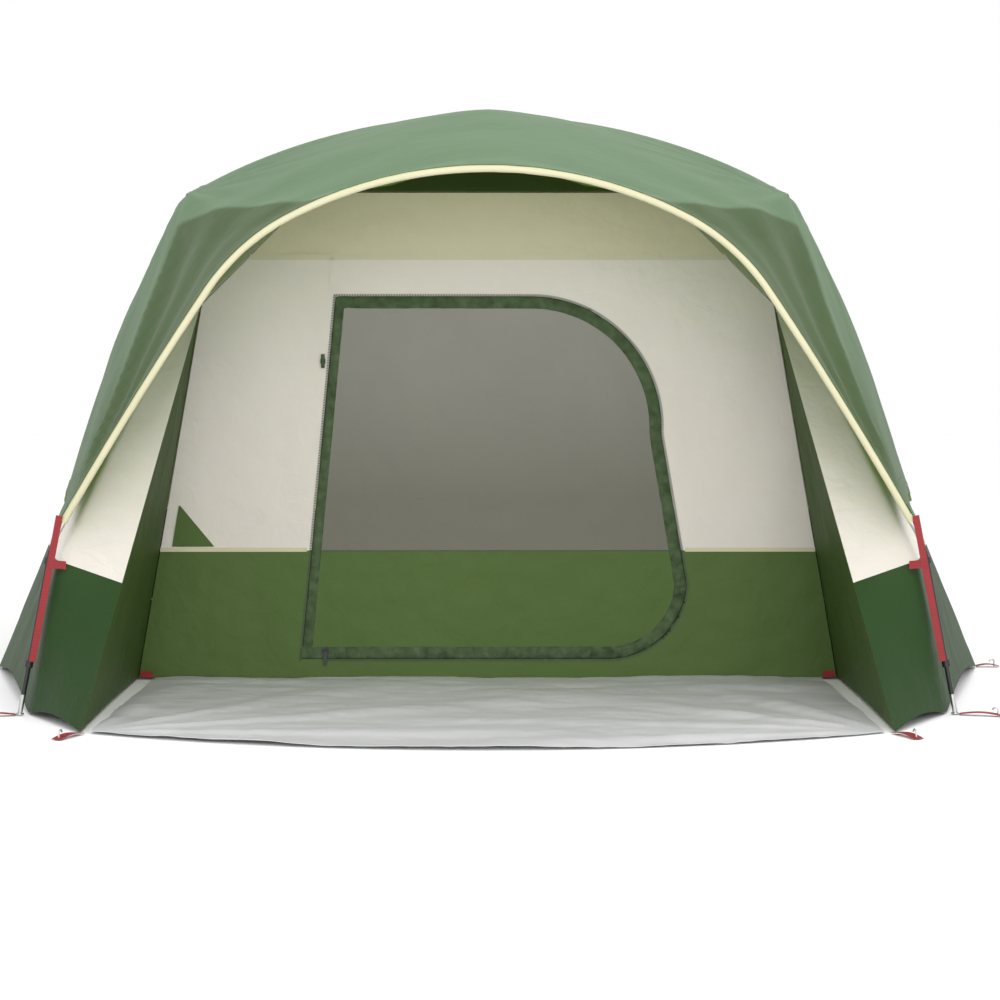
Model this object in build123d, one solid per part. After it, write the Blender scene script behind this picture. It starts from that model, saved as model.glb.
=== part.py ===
from build123d import *
import math
import os

# Cabin tent with a recessed porch, on one front arch pole and two crossing main poles
# Millimetres: X across, Y from the porch to the back, Z up from the ground

# Plan, measured back from the front edge of the porch sheet
TOE_BACK = 235.0
FRONT_POLE_BACK = 525.0
DOOR_WALL_BACK = 1175.0
SIDE_BACK = 1435.0
MAIN_FOOT_BACK = 3490.0
REAR_WALL_INSET = 40.0
REAR_PEG_REACH = 110.0
REAR_WALL_BACK = MAIN_FOOT_BACK - REAR_WALL_INSET
LENGTH = MAIN_FOOT_BACK + REAR_PEG_REACH

# Cloth
CLOTH = 2.0
ROOF_CLOTH = 3.0
SEAM = 0.4
GROUND_CLEAR = 0.4

# Cabin walls
SIDE_INSET = 22.0
SIDE_TOP_INSET = 67.0
SIDE_TOP = 1150.0
BAND_TOP = 320.0
REAR_TOP_FORWARD = 200.0
ROOF_HANG = 60.0

# Door wall
DOOR_WALL_HALF = 870.0
DOOR_WALL_TOP_HALF = 430.0
DOOR_WALL_TOP = 1205.0
HEADER_FOOT = 1047.0

# Wings beside the porch
TOE_HALF = 850.0
WING_PEAK = 930.0
WING_PEAK_HALF = 708.0
WING_SEAT = 2.4
FOLD_BEAD = 1.3
POLE_SEAT_IN = 6.7
POLE_SEAT_BACK = 11.0
WING_TAB = 340.0
WING_BAND_SHARE = 0.31

# Door, a D whose straight edge is the hinge
DOOR_FOOT = 50.0
DOOR_TOP = 950.0
DOOR_HINGE_FOOT_X = -464.0
DOOR_HINGE_TOP_X = -377.0
DOOR_TURN_X = 107.0
DOOR_SHOULDER_X = 430.0
DOOR_SHOULDER_Z = 610.0
DOOR_BELLY_X = 494.0
DOOR_BELLY_Z = 236.0
DOOR_HEEL_X = 300.0
ZIP_GAP = 0.8
BINDING_WIDTH = 30.0
BINDING_THICK = 4.0

# Triangular flap on the door wall
FLAP_FOOT = 330.0
FLAP_LEFT = -785.0
FLAP_WIDTH = 105.0
FLAP_HEIGHT = 105.0

# Zip slider and its puller
SLIDER_X = -405.0
SLIDER_Z = 66.0
SLIDER_WIDTH = 14.0
SLIDER_HEIGHT = 20.0
SLIDER_PLATE = 2.5
LUG = 2.0
LUG_REACH = 6.0
PIVOT_R = 1.0
PIVOT_CLEAR = 0.3
PULLER_LENGTH = 34.0
PULLER_THICK = 1.6

# Toggle that ties the open door back
TIE_Z = 790.0
TIE_OFFSET = 16.0
TOGGLE_R = 4.5
TOGGLE_LENGTH = 34.0
TIE_TAPE = 12.0

# Poles
POLE_R = 5.5
POLE_BORE = 2.2
CORD_R = 1.6
FERRULE_R = 6.8
FERRULE_CLEAR = 0.2
FERRULE_LENGTH = 70.0
ROD_GAP = 0.4
TIP_LENGTH = 45.0
TIP_PIN_R = 1.9
TIP_PIN = 30.0
RING_WIRE = 1.6
RING_CLEAR = 0.5

# Front arch pole: centre line, with the slopes where its bends change
FRONT_HEIGHT = 1200.0
FRONT_CROWN_R = 950.0
FRONT_SLOPES = (27.0, 56.0, 60.0)
FRONT_HIP_HALF = 940.0
FRONT_HIP = 415.0
FRONT_KNEE_R = 250.0
FRONT_LEG_SLOPE = 79.0
FRONT_ROD_COUNT = 9

# Main poles: straight legs, elbows and a shallow roof bow
MAIN_FOOT_HALF = 1262.0
MAIN_HEIGHT = 1500.0
MAIN_ELBOW_R = 150.0
MAIN_SLOPES = (30.0, 64.0)
MAIN_ROD_COUNT = 7
CROWN_PAD = 3.0
CROWN_PAD_R = 32.0
CROWN_PAD_CLEAR = 0.8
CABIN_PEAK = MAIN_HEIGHT - ROOF_HANG
SIDE_HALF = MAIN_FOOT_HALF - SIDE_INSET

# Sleeve of the front pole
SLEEVE_BORE = 7.4
SLEEVE_R = 9.6

# Fly: hem height and the sections that its cloth passes through
HEM_Z = 425.0
HEM_INSET = 142.0
HEM_HALF = MAIN_FOOT_HALF - HEM_INSET
FLY_ELBOW_R = 160.0
FLY_SLOPES = (29.0, 62.0, 76.0)
FLY_LIFT = 0.4
RIDGE_LIFT = 45.0
ELBOW_DROP = 10.0
SHOULDER_DROP = 50.0
GABLE_DROP = 60.0
SHOULDER_INSET = 125.0
ELBOW_INSET = 375.0
GABLE_INSET = 50.0
RIDGE_CROWN = MAIN_HEIGHT + RIDGE_LIFT
ELBOW_CROWN = MAIN_HEIGHT - ELBOW_DROP
SHOULDER_CROWN = MAIN_HEIGHT - SHOULDER_DROP
GABLE_CROWN = MAIN_HEIGHT - GABLE_DROP
SHOULDER_BACK = SIDE_BACK + SHOULDER_INSET
ELBOW_BACK = SIDE_BACK + ELBOW_INSET
REAR_ELBOW_BACK = MAIN_FOOT_BACK - ELBOW_INSET
GABLE_BACK = REAR_WALL_BACK - GABLE_INSET

# Webbing and pegs
TAPE_WIDTH = 22.0
TAPE = 2.0
LOOP_LENGTH = 95.0
SIDE_LOOP = 60.0
TOE_SPLAY = 20.0
FOOT_SPLAY = 20.0
LOOP_EYE = 2.5
PEG_R = 2.0
PEG_RISE = 12.0
PEG_HOOK_R = 6.0
STRAP_FOOT = 112.0
STRAP_LAP = 45.0
STRAP_STEPS = 10
CLIP_R = 9.0
CLIP_HEIGHT = 14.0
CLIP_CLEAR = 0.4
CLIP_ARM = 14.0
CLIP_HEIGHTS = (520.0, 900.0)
HALVINGS = 60


def plan_y(back):
    """Place along Y of a distance from the porch sheet's front edge."""
    return back - LENGTH / 2


TOE_Y = plan_y(TOE_BACK)
FRONT_POLE_Y = plan_y(FRONT_POLE_BACK)
DOOR_WALL_Y = plan_y(DOOR_WALL_BACK)
SIDE_Y = plan_y(SIDE_BACK)
REAR_Y = plan_y(REAR_WALL_BACK)
REAR_TOP_Y = REAR_Y - REAR_TOP_FORWARD
MAIN_REAR_Y = plan_y(MAIN_FOOT_BACK)
CROWN_Y = (SIDE_Y + MAIN_REAR_Y) / 2
FLOOR_TOP = CLOTH
WALL_FOOT = FLOOR_TOP + GROUND_CLEAR
WING_FOOT = TAPE + GROUND_CLEAR


# Profiles of bows, followed from the crown outwards

def sine(degrees):
    return math.sin(math.radians(degrees))


def cosine(degrees):
    return math.cos(math.radians(degrees))


def solve_pair(first, second):
    """Two unknowns from two rows of (factor, factor, total)."""
    a, b, e = first
    c, d, f = second
    base = a * d - b * c
    return (e * d - b * f) / base, (a * f - e * c) / base


def bend(radius, start, end):
    return {"radius": radius, "start": start, "end": end, "length": radius * math.radians(end - start)}


def straight(length, slope):
    return {"radius": None, "start": slope, "end": slope, "length": length}


def arch(half_span, rise, slopes, crown_radius):
    """Three bends with a known crown; the other two radii meet the span and the rise."""
    one, two, three = slopes
    across = half_span - crown_radius * sine(one)
    down = rise - crown_radius * (1 - cosine(one))
    middle, last = solve_pair(
        (sine(two) - sine(one), sine(three) - sine(two), across),
        (cosine(one) - cosine(two), cosine(two) - cosine(three), down),
    )
    return [bend(crown_radius, 0, one), bend(middle, one, two), bend(last, two, three)]


def elbowed(half_span, rise, slopes, elbow_radius):
    """Three bends with a known elbow; the crown and the leg meet the span and the rise."""
    one, two, three = slopes
    across = half_span - elbow_radius * (sine(two) - sine(one))
    down = rise - elbow_radius * (cosine(one) - cosine(two))
    crown, leg = solve_pair(
        (sine(one), sine(three) - sine(two), across),
        (1 - cosine(one), cosine(two) - cosine(three), down),
    )
    return [bend(crown, 0, one), bend(elbow_radius, one, two), bend(leg, two, three)]


def legged(half_span, rise, slopes, elbow_radius):
    """A crown bow and an elbow on a straight leg."""
    one, two = slopes
    across = half_span - elbow_radius * (sine(two) - sine(one))
    down = rise - elbow_radius * (cosine(one) - cosine(two))
    crown, leg = solve_pair((sine(one), cosine(two), across), (1 - cosine(one), sine(two), down))
    return [bend(crown, 0, one), bend(elbow_radius, one, two), straight(leg, two)]


def grown(profile, step):
    """The same profile, moved outwards by a step."""
    return [bend(run["radius"] + step, run["start"], run["end"]) for run in profile]


def cut_at(profile, drop):
    """A profile whose last bend ends at a drop below the crown."""
    lead, last = profile[:-1], profile[-1]
    above = place(profile, reach(lead))[1]
    slope = math.degrees(math.acos(cosine(last["start"]) - (drop - above) / last["radius"]))
    return lead + [bend(last["radius"], last["start"], slope)]


def reach(profile):
    return sum(run["length"] for run in profile)


def place(profile, distance):
    """Across and down from the crown, at a distance along one side."""
    side = math.copysign(1, distance)
    left = abs(distance)
    across, down = 0.0, 0.0
    for run in profile:
        step = min(left, run["length"])
        slope = run["start"]
        if run["radius"] is None:
            across += step * cosine(slope)
            down += step * sine(slope)
        else:
            turned = slope + math.degrees(step / run["radius"])
            across += run["radius"] * (sine(turned) - sine(slope))
            down += run["radius"] * (cosine(slope) - cosine(turned))
        left -= step
        if left <= 0:
            break
    return side * across, down


def distance_at(profile, drop):
    """Distance along one side to a drop below the crown."""
    low, high = 0.0, reach(profile)
    for _ in range(HALVINGS):
        middle = (low + high) / 2
        if place(profile, middle)[1] < drop:
            low = middle
        else:
            high = middle
    return (low + high) / 2


def stations(profile, start, end):
    """Ends of the bends between two distances."""
    marks, total = [], 0.0
    for run in profile:
        total += run["length"]
        marks += [total, -total]
    return [start] + sorted(mark for mark in marks if start < mark < end) + [end]


def run_at(profile, distance):
    total = 0.0
    for run in profile:
        total += run["length"]
        if abs(distance) < total:
            return run
    return profile[-1]


def spot(profile, crown, heading, distance):
    """Point on a bow in the upright plane of a heading."""
    across, down = place(profile, distance)
    return crown + heading * across - Vector(0, 0, down)


def bow(profile, crown, heading, start, end):
    """Edges along a profile in an upright plane."""
    edges = []
    marks = stations(profile, start, end)
    for first, last in zip(marks, marks[1:]):
        middle = (first + last) / 2
        begin, half, finish = (spot(profile, crown, heading, at) for at in (first, middle, last))
        if run_at(profile, middle)["radius"] is None:
            edges.append(Edge.make_line(begin, finish))
        else:
            edges.append(Edge.make_three_point_arc(begin, half, finish))
    return edges


def tube(edges, outer, bore=0.0):
    path = Wire(edges)
    section = Circle(outer) - Circle(bore) if bore else Circle(outer)
    return sweep(Plane(origin=path @ 0, z_dir=path % 0) * section, path=path)


# Flat cloth

def sheet(corners, thickness=CLOTH):
    """A flat panel, centred on the plane of its corners."""
    face = Face(Wire.make_polygon([Vector(*corner) for corner in corners]))
    return extrude(face, amount=thickness / 2, both=True)


def sewn(panels):
    """Panels of one cloth, joined along their folds."""
    return panels[0].fuse(*panels[1:])


def largest(shape):
    return max(shape.solids(), key=lambda solid: solid.volume)


def between(start, end, share):
    return tuple(a + (b - a) * share for a, b in zip(start, end))


def side_x(z):
    """Half width of the cabin's side wall at a height."""
    return SIDE_HALF + (SIDE_TOP_HALF - SIDE_HALF) * z / SIDE_TOP


def door_wall_x(z):
    """Half width of the door wall at a height; its edges draw in above the wings."""
    if z <= WING_PEAK:
        return DOOR_WALL_HALF + (WING_PEAK_HALF - DOOR_WALL_HALF) * z / WING_PEAK
    share = (z - WING_PEAK) / (DOOR_WALL_TOP - WING_PEAK)
    return WING_PEAK_HALF + (DOOR_WALL_TOP_HALF - WING_PEAK_HALF) * share


def rear_y(z):
    return REAR_Y - REAR_TOP_FORWARD * z / SIDE_TOP


# Pole lines

def front_upper():
    """Front pole above the fly's hem."""
    return arch(FRONT_HIP_HALF, FRONT_HEIGHT - FRONT_HIP, FRONT_SLOPES, FRONT_CROWN_R)


def front_line():
    """Front pole with a knee under the hem and a straight leg."""
    slope = FRONT_SLOPES[-1]
    knee_drop = FRONT_KNEE_R * (cosine(slope) - cosine(FRONT_LEG_SLOPE))
    knee = bend(FRONT_KNEE_R, slope, FRONT_LEG_SLOPE)
    leg = straight((FRONT_HIP - knee_drop) / sine(FRONT_LEG_SLOPE), FRONT_LEG_SLOPE)
    return front_upper() + [knee, leg]


FRONT_CROWN = Vector(0, FRONT_POLE_Y, FRONT_HEIGHT)
FRONT_HEADING = Vector(1, 0, 0)
FRONT_LINE = front_line()
MAIN_HALF = math.hypot(MAIN_FOOT_HALF, MAIN_REAR_Y - CROWN_Y)
MAIN_LIFT = 2 * POLE_R + CROWN_PAD + 2 * CROWN_PAD_CLEAR
MAIN_POLES = {}
for letter, turn, lift in (("a", 1, 0.0), ("b", -1, MAIN_LIFT)):
    MAIN_POLES[letter] = {
        "crown": Vector(0, CROWN_Y, MAIN_HEIGHT + lift),
        "heading": Vector(MAIN_FOOT_HALF, turn * (MAIN_REAR_Y - CROWN_Y), 0) / MAIN_HALF,
        "line": legged(MAIN_HALF, MAIN_HEIGHT + lift, MAIN_SLOPES, MAIN_ELBOW_R),
    }


def front_pole_x(z):
    return place(FRONT_LINE, distance_at(FRONT_LINE, FRONT_HEIGHT - z))[0]


def main_pole_x(z):
    pole = MAIN_POLES["a"]
    distance = distance_at(pole["line"], pole["crown"].Z - z)
    return spot(pole["line"], pole["crown"], pole["heading"], distance).X


SIDE_TOP_HALF = main_pole_x(SIDE_TOP) - SIDE_TOP_INSET


# Wings: the corners that their panels share

def wing_corners(side):
    toe = (side * TOE_HALF, TOE_Y, WING_FOOT)
    peak = (side * (WING_PEAK_HALF + WING_SEAT), DOOR_WALL_Y, WING_PEAK)
    behind = FRONT_POLE_Y + POLE_SEAT_BACK
    return {
        "toe": toe,
        "peak": peak,
        "foot": (side * (front_pole_x(WING_FOOT) - POLE_SEAT_IN), behind, WING_FOOT),
        "tab": (side * (front_pole_x(WING_TAB) - POLE_SEAT_IN), behind, WING_TAB),
        "band": between(toe, peak, WING_BAND_SHARE),
        "inner": (side * (DOOR_WALL_HALF + WING_SEAT), DOOR_WALL_Y, WING_FOOT),
        "corner": (side * side_x(0), SIDE_Y - CLOTH, WING_FOOT),
        "corner_band": (side * side_x(BAND_TOP), SIDE_Y - CLOTH, BAND_TOP),
        "side_top": (side * side_x(SIDE_TOP), SIDE_Y - CLOTH, SIDE_TOP),
        "wall_top": (side * (DOOR_WALL_TOP_HALF + WING_SEAT), DOOR_WALL_Y, DOOR_WALL_TOP),
    }


WING_LOWER_FACES = (
    ("toe", "inner", "peak"),
    ("toe", "foot", "tab"),
    ("toe", "tab", "band"),
    ("foot", "corner", "tab"),
    ("corner", "corner_band", "tab"),
)
WING_LOWER_FOLDS = (("toe", "peak"), ("toe", "tab"), ("foot", "tab"), ("corner", "tab"))
WING_UPPER_FACES = (
    ("band", "tab", "peak"),
    ("tab", "corner_band", "peak"),
    ("corner_band", "side_top", "peak"),
    ("side_top", "wall_top", "peak"),
)


def wing_panels(side, faces, thickness):
    corners = wing_corners(side)
    return [sheet([corners[name] for name in face], thickness) for face in faces]


def wing_beads(side, radius):
    """Stitched ridges along the folds of a lower wing."""
    corners = wing_corners(side)
    lines = [(Vector(*corners[first]), Vector(*corners[last])) for first, last in WING_LOWER_FOLDS]
    return [tube([Edge.make_line(first, last)], radius) for first, last in lines]


def wing_lower(side):
    return sewn(wing_panels(side, WING_LOWER_FACES, CLOTH) + wing_beads(side, FOLD_BEAD))


def wing_upper(side):
    """Cream cloth over a lower wing, cut back from it by a seam."""
    upper = sewn(wing_panels(side, WING_UPPER_FACES, CLOTH))
    clear = wing_panels(side, WING_LOWER_FACES, CLOTH + 2 * SEAM) + wing_beads(side, FOLD_BEAD + SEAM)
    for shape in clear:
        upper = upper - shape
    return largest(upper)


# Cabin

def side_wall(side, low, high):
    corners = [
        (side * side_x(low), SIDE_Y, low),
        (side * side_x(low), rear_y(low) - CLOTH, low),
        (side * side_x(high), rear_y(high) - CLOTH, high),
        (side * side_x(high), SIDE_Y, high),
    ]
    return sheet(corners)


def rear_wall(low, high):
    corners = [
        (-side_x(low), rear_y(low) + CLOTH, low),
        (side_x(low), rear_y(low) + CLOTH, low),
        (side_x(high), rear_y(high) + CLOTH, high),
        (-side_x(high), rear_y(high) + CLOTH, high),
    ]
    return sheet(corners)


def cabin_roof():
    """Mesh roof: a low pyramid that hangs from the crown."""
    foot = CLOTH / 2 + 2 * SEAM
    peak = (0, CROWN_Y, CABIN_PEAK)
    panels = []
    corners = [
        (DOOR_WALL_TOP_HALF, DOOR_WALL_Y, DOOR_WALL_TOP + foot),
        (SIDE_TOP_HALF, SIDE_Y, SIDE_TOP + foot),
        (SIDE_TOP_HALF, REAR_TOP_Y, SIDE_TOP + foot),
        (-SIDE_TOP_HALF, REAR_TOP_Y, SIDE_TOP + foot),
        (-SIDE_TOP_HALF, SIDE_Y, SIDE_TOP + foot),
        (-DOOR_WALL_TOP_HALF, DOOR_WALL_Y, DOOR_WALL_TOP + foot),
    ]
    for first, second in zip(corners, corners[1:] + corners[:1]):
        panels.append(sheet([first, second, peak]))
    return sewn(panels)


def cabin_floor():
    outline = [
        (-DOOR_WALL_HALF, DOOR_WALL_Y),
        (DOOR_WALL_HALF, DOOR_WALL_Y),
        (SIDE_HALF, SIDE_Y),
        (SIDE_HALF, REAR_Y),
        (-SIDE_HALF, REAR_Y),
        (-SIDE_HALF, SIDE_Y),
    ]
    return extrude(make_face(Polyline(*outline, close=True)), amount=CLOTH)


def porch_sheet():
    """Loose sheet whose front edge bows out between the toes."""
    half = TOE_HALF - TAPE_WIDTH
    back = DOOR_WALL_Y - SEAM
    left, right = (-half, TOE_Y), (half, TOE_Y)
    lines = [
        Line((-half, back), left),
        ThreePointArc(left, (0, plan_y(0)), right),
        Line(right, (half, back)),
        Line((half, back), (-half, back)),
    ]
    return extrude(make_face(lines), amount=CLOTH)


# Door wall and door, drawn in the wall's plane

WALL_PLANE = Plane(origin=(0, DOOR_WALL_Y, 0), x_dir=(1, 0, 0), z_dir=(0, -1, 0))


def upright(face, thickness):
    return extrude(WALL_PLANE * face, amount=thickness / 2, both=True)


def door_outline():
    hinge_foot = (DOOR_HINGE_FOOT_X, DOOR_FOOT)
    hinge_top = (DOOR_HINGE_TOP_X, DOOR_TOP)
    turn = (DOOR_TURN_X, DOOR_TOP)
    heel = (DOOR_HEEL_X, DOOR_FOOT)
    crown = TangentArc(turn, (DOOR_SHOULDER_X, DOOR_SHOULDER_Z), tangent=(1, 0))
    side = Line((DOOR_SHOULDER_X, DOOR_SHOULDER_Z), (DOOR_BELLY_X, DOOR_BELLY_Z))
    corner = TangentArc(heel, (DOOR_BELLY_X, DOOR_BELLY_Z), tangent=(1, 0))
    lines = [Line(hinge_foot, hinge_top), Line(hinge_top, turn), crown, side, corner, Line(heel, hinge_foot)]
    return make_face(lines)


def wall_band(low, high):
    heights = [low] + [WING_PEAK] * (low < WING_PEAK < high) + [high]
    right = [(door_wall_x(z), z) for z in heights]
    left = [(-x, z) for x, z in reversed(right)]
    return make_face(Polyline(*right, *left, close=True))


def door_wall(low, high):
    opening = offset(door_outline(), ZIP_GAP, kind=Kind.INTERSECTION)
    return upright(wall_band(low, high) - opening, CLOTH)


def door_inside():
    return offset(door_outline(), -BINDING_WIDTH - SEAM, kind=Kind.INTERSECTION)


def door_binding():
    outline = door_outline()
    return upright(outline - offset(outline, -BINDING_WIDTH, kind=Kind.INTERSECTION), BINDING_THICK)


def door_panel(low, high):
    return upright(door_inside() & wall_band(low, high), CLOTH)


def wall_block(x, z, width, height, near, depth):
    """A block in front of the door wall, from a gap to a depth."""
    place_at = Location((x, DOOR_WALL_Y - near - depth / 2, z))
    return place_at * Box(width, depth, height)


BINDING_FACE = BINDING_THICK / 2
LUG_FACE = BINDING_FACE + SEAM + SLIDER_PLATE
PIVOT_DEPTH = LUG_FACE + LUG_REACH - PIVOT_R - LUG
PULLER_WIDTH = SLIDER_WIDTH - 2 * LUG - 2 * SEAM
PIVOT_Z = SLIDER_Z + SLIDER_HEIGHT / 4


def pivot_rod(radius, length):
    at = Location((SLIDER_X, DOOR_WALL_Y - PIVOT_DEPTH, PIVOT_Z), (0, 90, 0))
    return at * Cylinder(radius, length)


def zip_slider():
    slider = wall_block(SLIDER_X, SLIDER_Z, SLIDER_WIDTH, SLIDER_HEIGHT, BINDING_FACE + SEAM, SLIDER_PLATE)
    for side in (-1, 1):
        lug_x = SLIDER_X + side * (SLIDER_WIDTH - LUG) / 2
        slider += wall_block(lug_x, PIVOT_Z, LUG, SLIDER_HEIGHT / 2, LUG_FACE, LUG_REACH)
    return slider + pivot_rod(PIVOT_R, SLIDER_WIDTH)


def zip_puller():
    hub_r = PIVOT_R + PIVOT_CLEAR + PULLER_THICK / 2
    hub = pivot_rod(hub_r, PULLER_WIDTH)
    tongue_z = PIVOT_Z - PULLER_LENGTH / 2
    near = PIVOT_DEPTH - PULLER_THICK / 2
    tongue = wall_block(SLIDER_X, tongue_z, PULLER_WIDTH, PULLER_LENGTH, near, PULLER_THICK)
    return hub + tongue - pivot_rod(PIVOT_R + PIVOT_CLEAR, SLIDER_WIDTH)


def cable_flap():
    lean = FLAP_HEIGHT * (DOOR_WALL_HALF - WING_PEAK_HALF) / WING_PEAK
    tip = (FLAP_LEFT + lean, FLAP_FOOT + FLAP_HEIGHT)
    corners = [(FLAP_LEFT, FLAP_FOOT), (FLAP_LEFT + FLAP_WIDTH, FLAP_FOOT), tip]
    flap = upright(make_face(Polyline(*corners, close=True)), CLOTH)
    return Location((0, -CLOTH - SEAM, 0)) * flap


def door_tie():
    """Tape tab on the wall with a cross toggle."""
    share = (TIE_Z - DOOR_FOOT) / (DOOR_TOP - DOOR_FOOT)
    x = DOOR_HINGE_FOOT_X + (DOOR_HINGE_TOP_X - DOOR_HINGE_FOOT_X) * share - TIE_OFFSET
    face = CLOTH / 2 + SEAM
    tab = wall_block(x, TIE_Z, TIE_TAPE, TIE_TAPE, face, TAPE + TOGGLE_R)
    at = Location((x, DOOR_WALL_Y - face - TAPE - TOGGLE_R, TIE_Z))
    return tab + at * Cylinder(TOGGLE_R, TOGGLE_LENGTH)


# Fly

def fly_profile(crown):
    return elbowed(HEM_HALF, crown - HEM_Z, FLY_SLOPES, FLY_ELBOW_R)


def front_hem_profile():
    """Front pole's line, lifted over its sleeve and ended at the hem."""
    lift = SLEEVE_R + FLY_LIFT
    lifted = grown(front_upper(), lift)
    return cut_at(lifted, FRONT_HEIGHT + lift - HEM_Z)


def fly_section(back, profile, crown):
    """Cross-section of the cloth: its inner line, and one cloth further out."""
    heading = Vector(1, 0, 0)
    end = reach(profile)
    inner_crown = Vector(0, plan_y(back), crown)
    outer_crown = inner_crown + Vector(0, 0, ROOF_CLOTH)
    outer = grown(profile, ROOF_CLOTH)
    inner_edges = bow(profile, inner_crown, heading, -end, end)
    outer_edges = bow(outer, outer_crown, heading, -reach(outer), reach(outer))
    closing = [
        Edge.make_line(inner_edges[0] @ 0, outer_edges[0] @ 0),
        Edge.make_line(inner_edges[-1] @ 1, outer_edges[-1] @ 1),
    ]
    return Face(Wire(inner_edges + closing + outer_edges))


def fly_roof():
    front_crown = FRONT_HEIGHT + SLEEVE_R + FLY_LIFT
    ridge_back = CROWN_Y + LENGTH / 2
    sections = [fly_section(FRONT_POLE_BACK - SLEEVE_R, front_hem_profile(), front_crown)]
    stages = (
        (SHOULDER_BACK, SHOULDER_CROWN),
        (ELBOW_BACK, ELBOW_CROWN),
        (ridge_back, RIDGE_CROWN),
        (REAR_ELBOW_BACK, ELBOW_CROWN),
        (GABLE_BACK, GABLE_CROWN),
    )
    for back, crown in stages:
        sections.append(fly_section(back, fly_profile(crown), crown))
    return loft(sections, ruled=True)


def fly_gable():
    """Rear end of the fly, hung under its last edge."""
    profile = grown(fly_profile(GABLE_CROWN), -SEAM)
    crown = Vector(0, plan_y(GABLE_BACK) - CLOTH / 2, GABLE_CROWN - SEAM)
    end = reach(profile)
    edges = bow(profile, crown, Vector(1, 0, 0), -end, end)
    hem = Edge.make_line(edges[-1] @ 1, edges[0] @ 0)
    return extrude(Face(Wire(edges + [hem])), amount=CLOTH / 2, both=True)


def front_sleeve():
    end = distance_at(FRONT_LINE, FRONT_HEIGHT - HEM_Z)
    return tube(bow(FRONT_LINE, FRONT_CROWN, FRONT_HEADING, -end, end), SLEEVE_R, SLEEVE_BORE)


# Poles

def pole_pieces(line, crown, heading, count):
    """Rods, ferrules and elastic cord of one pole."""
    end = reach(line) - TIP_LENGTH - ROD_GAP
    length = 2 * end / count
    rods, ferrules = [], []
    for number in range(count):
        start = -end + number * length
        rods.append(tube(bow(line, crown, heading, start, start + length - ROD_GAP), POLE_R, POLE_BORE))
        if number:
            first, last = start - FERRULE_LENGTH / 2, start + FERRULE_LENGTH / 2
            bore = POLE_R + FERRULE_CLEAR
            ferrules.append(tube(bow(line, crown, heading, first, last), FERRULE_R, bore))
    stop = end - TIP_PIN - ROD_GAP
    cord = tube(bow(line, crown, heading, -stop, stop), CORD_R)
    return rods, ferrules, cord


def pole_tip(line, crown, heading, side):
    """Metal end with a pin in the rod, cut flat where it stands."""
    end = side * reach(line)
    foot = spot(line, crown, heading, end)
    top = spot(line, crown, heading, end - side * TIP_LENGTH)
    up = (top - foot).normalized()
    pin_end = top + up * TIP_PIN
    below = foot - up * TIP_LENGTH
    body = tube([Edge.make_line(below, top)], POLE_R)
    tip = body + tube([Edge.make_line(foot, pin_end)], TIP_PIN_R)
    return split(tip, bisect_by=Plane.XY, keep=Keep.TOP)


def ring_centre(line, crown, heading, side):
    return spot(line, crown, heading, side * distance_at(line, crown.Z - RING_WIRE))


def ring_radius(line):
    return POLE_R / sine(line[-1]["end"]) + RING_CLEAR + RING_WIRE


def foot_ring(line, crown, heading, side):
    return Location(ring_centre(line, crown, heading, side)) * Torus(ring_radius(line), RING_WIRE)


def pole_list():
    poles = [(FRONT_LINE, FRONT_CROWN, FRONT_HEADING)]
    poles += [(pole["line"], pole["crown"], pole["heading"]) for pole in MAIN_POLES.values()]
    return poles


def crown_pad():
    height = MAIN_HEIGHT + POLE_R + CROWN_PAD_CLEAR + CROWN_PAD / 2
    return Location((0, CROWN_Y, height)) * Cylinder(CROWN_PAD_R, CROWN_PAD)


# Clips, straps, loops and pegs

def ring_on(point, along):
    at = Plane(origin=point, z_dir=along)
    return at * (Cylinder(CLIP_R, CLIP_HEIGHT) - Cylinder(POLE_R + CLIP_CLEAR, CLIP_HEIGHT))


def wall_clips():
    """Rings on the main poles, each with an arm that reaches the cabin's side wall."""
    clips = []
    for pole in MAIN_POLES.values():
        line, crown, heading = pole["line"], pole["crown"], pole["heading"]
        for side in (-1, 1):
            for height in CLIP_HEIGHTS:
                at = side * distance_at(line, crown.Z - height)
                point = spot(line, crown, heading, at)
                along = spot(line, crown, heading, at - side) - point
                hand = math.copysign(1, point.X)
                start = abs(point.X) - (POLE_R + CLIP_R) / 2
                end = side_x(point.Z) + CLOTH
                arm = Box(start - end, CLIP_ARM, TAPE)
                arm = Location((hand * (start + end) / 2, point.Y, point.Z)) * arm
                bore = Plane(origin=point, z_dir=along) * Cylinder(POLE_R + CLIP_CLEAR, 4 * CLIP_HEIGHT)
                clips.append(ring_on(point, along) + arm - bore)
    return clips


def corner_strap(side):
    """Flat webbing from the fly's corner down the front pole."""
    low, high = STRAP_FOOT, HEM_Z + STRAP_LAP
    heights = [low + (high - low) * step / STRAP_STEPS for step in range(STRAP_STEPS + 1)]
    outer = [(side * (front_pole_x(z) + TAPE_WIDTH / 2), z) for z in heights]
    inner = [(side * (front_pole_x(z) - TAPE_WIDTH / 2), z) for z in reversed(heights)]
    strap = upright(make_face(Polyline(*outer, *inner, close=True)), TAPE)
    y = FRONT_POLE_Y - SLEEVE_R - SEAM - TAPE / 2
    return Location((0, y - DOOR_WALL_Y, 0)) * strap


def pole_clip(side, height):
    """Ring on the front pole."""
    distance = side * distance_at(FRONT_LINE, FRONT_HEIGHT - height)
    point = spot(FRONT_LINE, FRONT_CROWN, FRONT_HEADING, distance)
    along = spot(FRONT_LINE, FRONT_CROWN, FRONT_HEADING, distance - side) - point
    return ring_on(point, along)


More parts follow.
